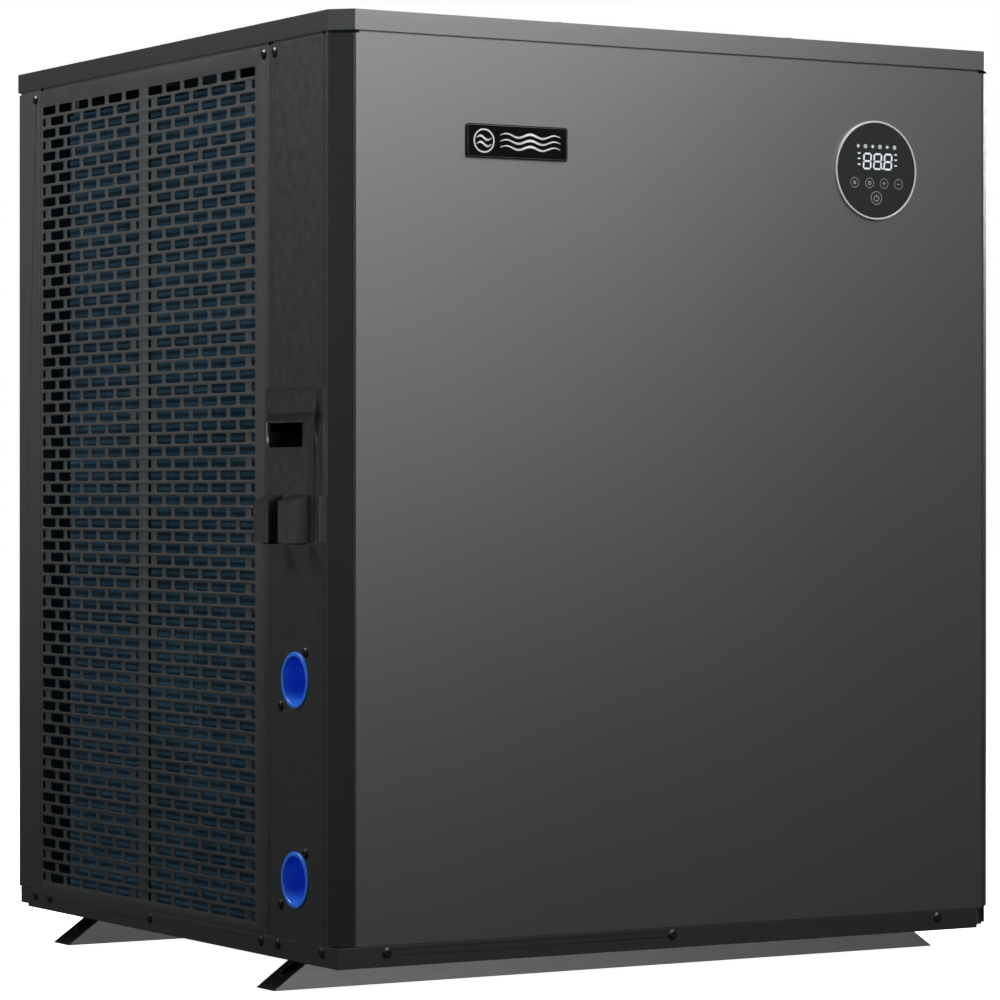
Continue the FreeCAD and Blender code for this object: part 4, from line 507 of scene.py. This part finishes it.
def build_fins():
    """Thin fins, each slightly out of line, pressed onto two rows of tube."""
    low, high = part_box("evaporator_fins")
    thick = 38 * MM
    gauge = 0.35 * MM
    bm = bmesh.new()
    for place, inward in coil_stations(2.4 * MM):
        side = Vector((-inward.y, inward.x, 0)) * gauge / 2
        lean = inward.cross(Vector((0, 0, 1))) * draw.uniform(-0.35, 0.35) * MM
        near = place + inward * 0.3 * MM
        far = place + inward * (thick - 0.3 * MM)
        rings = []
        for height, shift in ((low.z, 0), ((low.z + high.z) / 2, 1), (high.z, 0)):
            up = Vector((0, 0, height))
            corners = [near - side, near + side, far + side, far - side]
            rings.append([bm.verts.new(corner + up + lean * shift) for corner in corners])
        for below, above in zip(rings, rings[1:]):
            for index in range(4):
                after = (index + 1) % 4
                bm.faces.new((below[index], below[after], above[after], above[index]))
        bm.faces.new(rings[0][::-1])
        bm.faces.new(rings[-1])
    fins = mesh_of(bm, "coil_fins")
    item = add_piece("coil_fins", fins, "fin_aluminium", angle=20)
    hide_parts("evaporator_fins")
    tubes = []
    row_gap = 25.4 * MM
    count = int((high.z - low.z - 0.03) / row_gap)
    stations = list(coil_stations(24 * MM))
    for number in range(count + 1):
        depth = (9.5 if number % 2 else 28.5) * MM
        height = low.z + 0.02 + row_gap * number
        line = [place + inward * depth + Vector((0, 0, height)) for place, inward in stations]
        tubes.append(swept("tube", line, 4.6 * MM, resolution=1))
    add_piece("coil_tube_rows", join_meshes("coil_tube_rows", tubes), "copper")


build_fins()


# ---------------------------------------------------------------- display and name plate

def flat_marks(name, outlines_list, depth, slot, material, y):
    """Thin printed shapes on the front, given as (x, z) outlines; each may have holes."""
    parts = []
    for outlines in outlines_list:
        mesh = plate_mesh(name, outlines, depth, depth * 0.2)
        for vert in mesh.vertices:
            u, v, w = vert.co
            vert.co = (u, y - depth / 2 - w, v)
        parts.append(mesh)
    mesh = join_meshes(name, parts)
    bm = bmesh.new()
    bm.from_mesh(mesh)
    bmesh.ops.recalc_face_normals(bm, faces=bm.faces)
    bm.to_mesh(mesh)
    bm.free()
    return add_piece(name, mesh, slot, material=material)


def circle(x, z, radius, steps=24, start=0.0, turn=360.0):
    return [(x + radius * math.cos(math.radians(start + turn * step / steps)),
             z + radius * math.sin(math.radians(start + turn * step / steps)))
            for step in range(steps)]


def arc_band(x, z, radius, width, start, turn, steps=16):
    outer = [(x + (radius + width / 2) * math.cos(math.radians(start + turn * step / steps)),
              z + (radius + width / 2) * math.sin(math.radians(start + turn * step / steps)))
             for step in range(steps + 1)]
    inner = [(x + (radius - width / 2) * math.cos(math.radians(start + turn * step / steps)),
              z + (radius - width / 2) * math.sin(math.radians(start + turn * step / steps)))
             for step in range(steps + 1)]
    return [outer + inner[::-1]]


def ring(x, z, radius, width):
    return [circle(x, z, radius), circle(x, z, radius - width)[::-1]]


def bar(x0, z0, x1, z1, width):
    """A straight stroke with cut corners."""
    way = Vector((x1 - x0, z1 - z0)).normalized()
    side = Vector((-way.y, way.x)) * width / 2
    tip = way * width * 0.35
    a, b = Vector((x0, z0)), Vector((x1, z1))
    return [[tuple(a + side + tip), tuple(a - tip * 0), tuple(a - side + tip),
             tuple(b - side - tip), tuple(b), tuple(b + side - tip)][::-1]]


def seven_segments(x, z, width, height, stroke):
    """All seven strokes of one digit, lower left corner at x, z."""
    gap = stroke * 0.25
    lean = 0.06
    strokes = []
    for level in (0, 0.5, 1):
        up = z + height * level
        shift = lean * height * level
        strokes.append(bar(x + gap + shift, up, x + width - gap + shift, up, stroke))
    for across in (0, 1):
        for level in (0, 0.5):
            low = z + height * level + gap
            high = z + height * (level + 0.5) - gap
            strokes.append(bar(x + width * across + lean * (low - z), low,
                               x + width * across + lean * (high - z), high, stroke))
    return strokes


def build_display():
    x, z = DISPLAY_X, DISPLAY_Z
    glow = []
    for index in range(3):
        glow += seven_segments(x + (-17.8 + index * 14.2) * MM, z + 1.5 * MM, 9.8 * MM, 16.8 * MM,
                               2.1 * MM)
    glow.append([circle(x + 8.7 * MM, z + 2.2 * MM, 1.2 * MM, 12)])
    for index in range(6):
        centre = x + (-25 + index * 10) * MM
        up = z + 26.5 * MM
        if index % 2:
            glow.append(ring(centre, up, 2.3 * MM, 0.8 * MM))
            glow.append([circle(centre, up, 0.8 * MM, 10)])
        else:
            for turn in (0, 60, 120):
                a = math.radians(turn)
                reach = 2.3 * MM
                glow.append(bar(centre - reach * math.cos(a), up - reach * math.sin(a),
                                centre + reach * math.cos(a), up + reach * math.sin(a), 0.7 * MM))
    for up in (6, 12.5, 18.5):
        glow.append(bar(x - 25.8 * MM, z + up * MM, x - 21.6 * MM, z + up * MM, 1.5 * MM))
        glow.append(bar(x + 24.6 * MM, z + up * MM, x + 28.8 * MM, z + up * MM, 1.5 * MM))
    keys_glow = []
    keys = [(-29.6, -14.5), (-9.3, -14.5), (10.7, -14.5), (30.8, -14.5)]
    for number, (across, up) in enumerate(keys):
        cx, cz = x + across * MM, z + up * MM
        keys_glow.append(ring(cx, cz, 5.8 * MM, 0.55 * MM))
        if number == 0:
            keys_glow.append(bar(cx - 2 * MM, cz + 2 * MM, cx + 2 * MM, cz - 2 * MM, 0.9 * MM))
            keys_glow.append(bar(cx - 2 * MM, cz - 2 * MM, cx + 2 * MM, cz + 2 * MM, 0.9 * MM))
        elif number == 1:
            keys_glow.append(ring(cx, cz, 2.4 * MM, 0.8 * MM))
            keys_glow.append(bar(cx, cz, cx, cz + 1.8 * MM, 0.7 * MM))
        elif number == 2:
            keys_glow.append(bar(cx - 2.4 * MM, cz, cx + 2.4 * MM, cz, 0.9 * MM))
            keys_glow.append(bar(cx, cz - 2.4 * MM, cx, cz + 2.4 * MM, 0.9 * MM))
        else:
            keys_glow.append(bar(cx - 2.4 * MM, cz, cx + 2.4 * MM, cz, 0.9 * MM))
    keys_glow.append(ring(x, z - 31 * MM, 7.6 * MM, 0.6 * MM))
    keys_glow.append(arc_band(x, z - 31.3 * MM, 3.3 * MM, 0.9 * MM, 125, 290))
    keys_glow.append(bar(x, z - 31 * MM, x, z - 26.6 * MM, 0.9 * MM))
    flat_marks("display_digits", glow, 0.10 * MM, "display_glass", ICON_GLOW, LENS_Y)
    flat_marks("display_keys", keys_glow, 0.10 * MM, "display_glass", KEY_GLOW, LENS_Y)


def wave_outline(x0, x1, z, amplitude, width, waves, steps=36):
    """A ribbon that follows a sine wave, tapered at both ends."""
    upper, lower = [], []
    for step in range(steps + 1):
        share = step / steps
        x = x0 + (x1 - x0) * share
        middle = z + amplitude * math.sin(2 * math.pi * waves * share)
        half = width / 2 * (0.25 + 0.75 * math.sin(math.pi * share))
        upper.append((x, middle + half))
        lower.append((x, middle - half))
    return [lower + upper[::-1]]


def build_name_mark():
    """A generic badge: a ring with two waves in it, and a row of three wave ribbons."""
    low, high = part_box("name_plate")
    middle = (low.z + high.z) / 2
    centre = low.x + 21 * MM
    marks = [ring(centre, middle, 13 * MM, 1.7 * MM)]
    for up in (-3.6, 3.0):
        marks.append(wave_outline(centre - 9 * MM, centre + 9 * MM, middle + up * MM, 2.2 * MM,
                                  2.8 * MM, 1.0))
    for up in (-6.2, 0.3, 6.8):
        marks.append(wave_outline(centre + 20 * MM, high.x - 9 * MM, middle + up * MM, 1.9 * MM,
                                  2.6 * MM, 2.5, 60))
    flat_marks("name_plate_mark", marks, 0.12 * MM, "plate_gloss", PRINT_WHITE, low.y)
    edge = [rounded_loop(low.x + 1.0 * MM, low.z + 1.0 * MM, high.x - low.x - 2 * MM,
                         high.z - low.z - 2 * MM, 2.4 * MM),
            rounded_loop(low.x + 1.6 * MM, low.z + 1.6 * MM, high.x - low.x - 3.2 * MM,
                         high.z - low.z - 3.2 * MM, 2.0 * MM)[::-1]]
    flat_marks("name_plate_line", [edge], 0.08 * MM, "plate_gloss", PRINT_GREY, low.y)


build_display()
build_name_mark()


# ---------------------------------------------------------------- plugs in the feet

PLUG_X = 406 * MM               # over the anchor holes
PLUG_RADIUS = 9.9 * MM
PLUG_RECESS = 0.3 * MM          # below the sloping face
PLUG_THICK = 1.8 * MM
PLUG_STEPS = 32
FOOT_HALF = 435 * MM
FOOT_RISE = 35 / 50             # of the sloping end


def build_foot_plugs():
    """A rubber plug in each hole of the sloping ends, over the anchor holes."""
    bm = bmesh.new()
    for foot in ("foot_front", "foot_rear"):
        low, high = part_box(foot)
        middle = (low.y + high.y) / 2
        for way in (-1, 1):
            loops = []
            for depth in (PLUG_RECESS, PLUG_RECESS + PLUG_THICK):
                loop = []
                for step in range(PLUG_STEPS):
                    turn = math.tau * step / PLUG_STEPS
                    x = PLUG_X + PLUG_RADIUS * math.cos(turn)
                    y = middle + PLUG_RADIUS * math.sin(turn)
                    loop.append(bm.verts.new((way * x, y, (FOOT_HALF - x) * FOOT_RISE - depth)))
                loops.append(loop)
                bm.faces.new(loop)
            for step in range(PLUG_STEPS):
                after = (step + 1) % PLUG_STEPS
                bm.faces.new((loops[0][step], loops[0][after], loops[1][after], loops[1][step]))
    add_piece("foot_plugs", mesh_of(bm, "foot_plugs"), "rubber")


build_foot_plugs()


# ---------------------------------------------------------------- edges of the CAD nodes

SOFT_EDGES = {
    "base_tray": 0.35, "foot_front": 0.7, "foot_rear": 0.7, "post_front_left": 0.35,
    "post_front_right": 0.35, "post_back_left": 0.35, "post_back_right": 0.35,
    "front_panel": 0.4, "service_panel": 0.4, "side_panel_right": 0.4, "top_cover": 0.4,
    "top_frame": 0.3, "side_handle": 0.8, "water_inlet_port": 0.8, "water_outlet_port": 0.8,
    "display_bezel": 0.3, "name_plate": 0.35, "motor_bracket": 0.4, "control_box": 0.3,
    "heat_sink": 0.3, "fan_motor": 0.8, "mounting_bolts": 0.3, "terminal_block": 0.3,
}
for name, width in SOFT_EDGES.items():
    soften(name, width * MM)
for name in nodes:
    smooth_node(name)


# ---------------------------------------------------------------- floor, light and camera

def build_floor():
    bm = bmesh.new()
    corners = [bm.verts.new((x, y, -0.0005)) for x, y in ((-30, -30), (30, -30), (30, 30), (-30, 30))]
    bm.faces.new(corners)
    mesh = mesh_of(bm, "floor")
    tool = finish("pale_floor", (0.90, 0.90, 0.90), 0.8, 0.0, 60, 0.02, mottle=0.01, patch=1)
    tool.shader.inputs["Emission Color"].default_value = (1, 1, 1, 1)
    tool.shader.inputs["Emission Strength"].default_value = 1.0
    mesh.materials.append(tool.material)
    floor = bpy.data.objects.new("floor", mesh)
    floor.visible_glossy = False
    floor.visible_diffuse = False
    bpy.context.scene.collection.objects.link(floor)
    return floor


def area_light(name, place, target, width, height, power, colour=(1, 1, 1), shadow=True):
    light = bpy.data.lights.new(name, "AREA")
    light.shape = "RECTANGLE"
    light.size = width
    light.size_y = height
    light.energy = power
    light.color = colour
    light.use_shadow = shadow
    item = bpy.data.objects.new(name, light)
    item.location = place
    way = Vector(target) - Vector(place)
    item.rotation_euler = way.to_track_quat("-Z", "Y").to_euler()
    bpy.context.scene.collection.objects.link(item)
    return item


def choose(light, items, state, blockers=False):
    """Let a light reach only these objects, or all but these; or let them cast no shadow."""
    group = bpy.data.collections.new(light.name + ("_blockers" if blockers else "_receivers"))
    for item in items:
        group.objects.link(item)
    for entry in group.collection_objects:
        entry.light_linking.link_state = state
    if blockers:
        light.light_linking.blocker_collection = group
    else:
        light.light_linking.receiver_collection = group


def build_world():
    world = bpy.data.worlds.new("studio")
    bpy.context.scene.world = world
    world.use_nodes = True
    tree = world.node_tree
    tree.nodes.clear()
    out = tree.nodes.new("ShaderNodeOutputWorld")
    mix = tree.nodes.new("ShaderNodeMixShader")
    path = tree.nodes.new("ShaderNodeLightPath")
    seen = tree.nodes.new("ShaderNodeBackground")
    seen.inputs["Color"].default_value = (1, 1, 1, 1)
    seen.inputs["Strength"].default_value = 1.0
    ambient = tree.nodes.new("ShaderNodeBackground")
    ambient.inputs["Color"].default_value = (1, 1, 1, 1)
    ambient.inputs["Strength"].default_value = 0.02
    tree.links.new(path.outputs["Is Camera Ray"], mix.inputs[0])
    tree.links.new(ambient.outputs[0], mix.inputs[1])
    tree.links.new(seen.outputs[0], mix.inputs[2])
    tree.links.new(mix.outputs[0], out.inputs["Surface"])
    return ambient


def build_camera():
    data = bpy.data.cameras.new("camera")
    data.sensor_width = 36
    data.lens = 148.3
    data.shift_y = -0.0054
    data.clip_start = 0.1
    data.clip_end = 200
    item = bpy.data.objects.new("camera", data)
    item.location = (-2.468, -4.1755, 0.529)
    item.rotation_euler = (math.radians(90), 0, math.radians(-30.71))
    bpy.context.scene.collection.objects.link(item)
    bpy.context.scene.camera = item


build_floor()
build_world()
area_light("front_high", (0.6, -2.2, 2.0), (0, -0.4, 0.7), 1.2, 1.0, 25.9)
area_light("front_top", (0.2, -1.2, 2.4), (0, -0.4, 0.8), 1.2, 0.8, 14.5)
area_light("front_middle", (0.3, -1.6, 0.9), (0, -0.4, 0.6), 0.8, 0.8, 1.3)
area_light("front_left", (-0.45, -1.5, 0.8), (-0.2, -0.4, 0.5), 0.5, 0.9, 2.65)
left_high = area_light("left_high", (-1.8, 0.9, 2.4), (-0.45, 0.1, 0.8), 1.2, 1.0, 33)
left_open = area_light("left_open", (-1.8, 0.9, 2.4), (-0.45, 0.1, 0.8), 1.2, 1.0, 42,
                       shadow=False)
back_edge = area_light("back_edge", (-1.1, 1.0, 0.8), (-0.44, 0.4, 0.6), 0.4, 0.9, 0.95,
                       shadow=False)
handle_light = area_light("handle_side", (-2.4, 0.1, 0.40), (-0.45, -0.3, 0.5), 0.9, 0.7, 30)
fin_light = area_light("fin_side", (-2.2, 0.2, 0.35), (-0.45, 0.0, 0.4), 1.2, 0.8, 20,
                       shadow=False)
foot_light = area_light("foot_fill", (0.1, -2.0, 0.25), (0, -0.3, 0.03), 1.4, 0.4, 32,
                        shadow=False)
handle_parts = [nodes["side_handle"]]
foot_parts = [nodes["foot_front"], nodes["foot_rear"]]
outer_parts = [nodes[name] for name in (
    "service_panel", "base_tray", "post_front_left", "post_back_left", "front_panel",
    "water_inlet_port", "water_outlet_port", "panel_screws", "top_screws",
    "service_screws")]
outer_parts += [bpy.data.objects[name] for name in ("guard_left_perforated", "coil_fins")]
choose(left_high, handle_parts + foot_parts, "EXCLUDE")
choose(left_open, outer_parts, "INCLUDE")
choose(left_high, handle_parts, "EXCLUDE", blockers=True)
choose(back_edge, [nodes["post_back_left"], bpy.data.objects["guard_left_perforated"]],
       "INCLUDE")
choose(handle_light, handle_parts, "INCLUDE")
choose(fin_light, [bpy.data.objects["coil_fins"]], "INCLUDE")
choose(foot_light, foot_parts, "INCLUDE")
area_light("camera_side", (-3.2, -2.2, 1.6), (-0.4, -0.3, 0.6), 1.4, 1.4, 4.0)
area_light("top_fill", (0.2, 0.6, 3.0), (0, 0, 1.0), 2.0, 2.0, 30)
area_light("back_fill", (0.8, 2.8, 1.8), (0, 0.4, 0.6), 1.6, 1.4, 60)
area_light("right_fill", (2.8, 0.9, 1.7), (0.4, 0.1, 0.6), 1.4, 1.4, 50)
build_camera()
bpy.context.scene.view_settings.view_transform = "Standard"
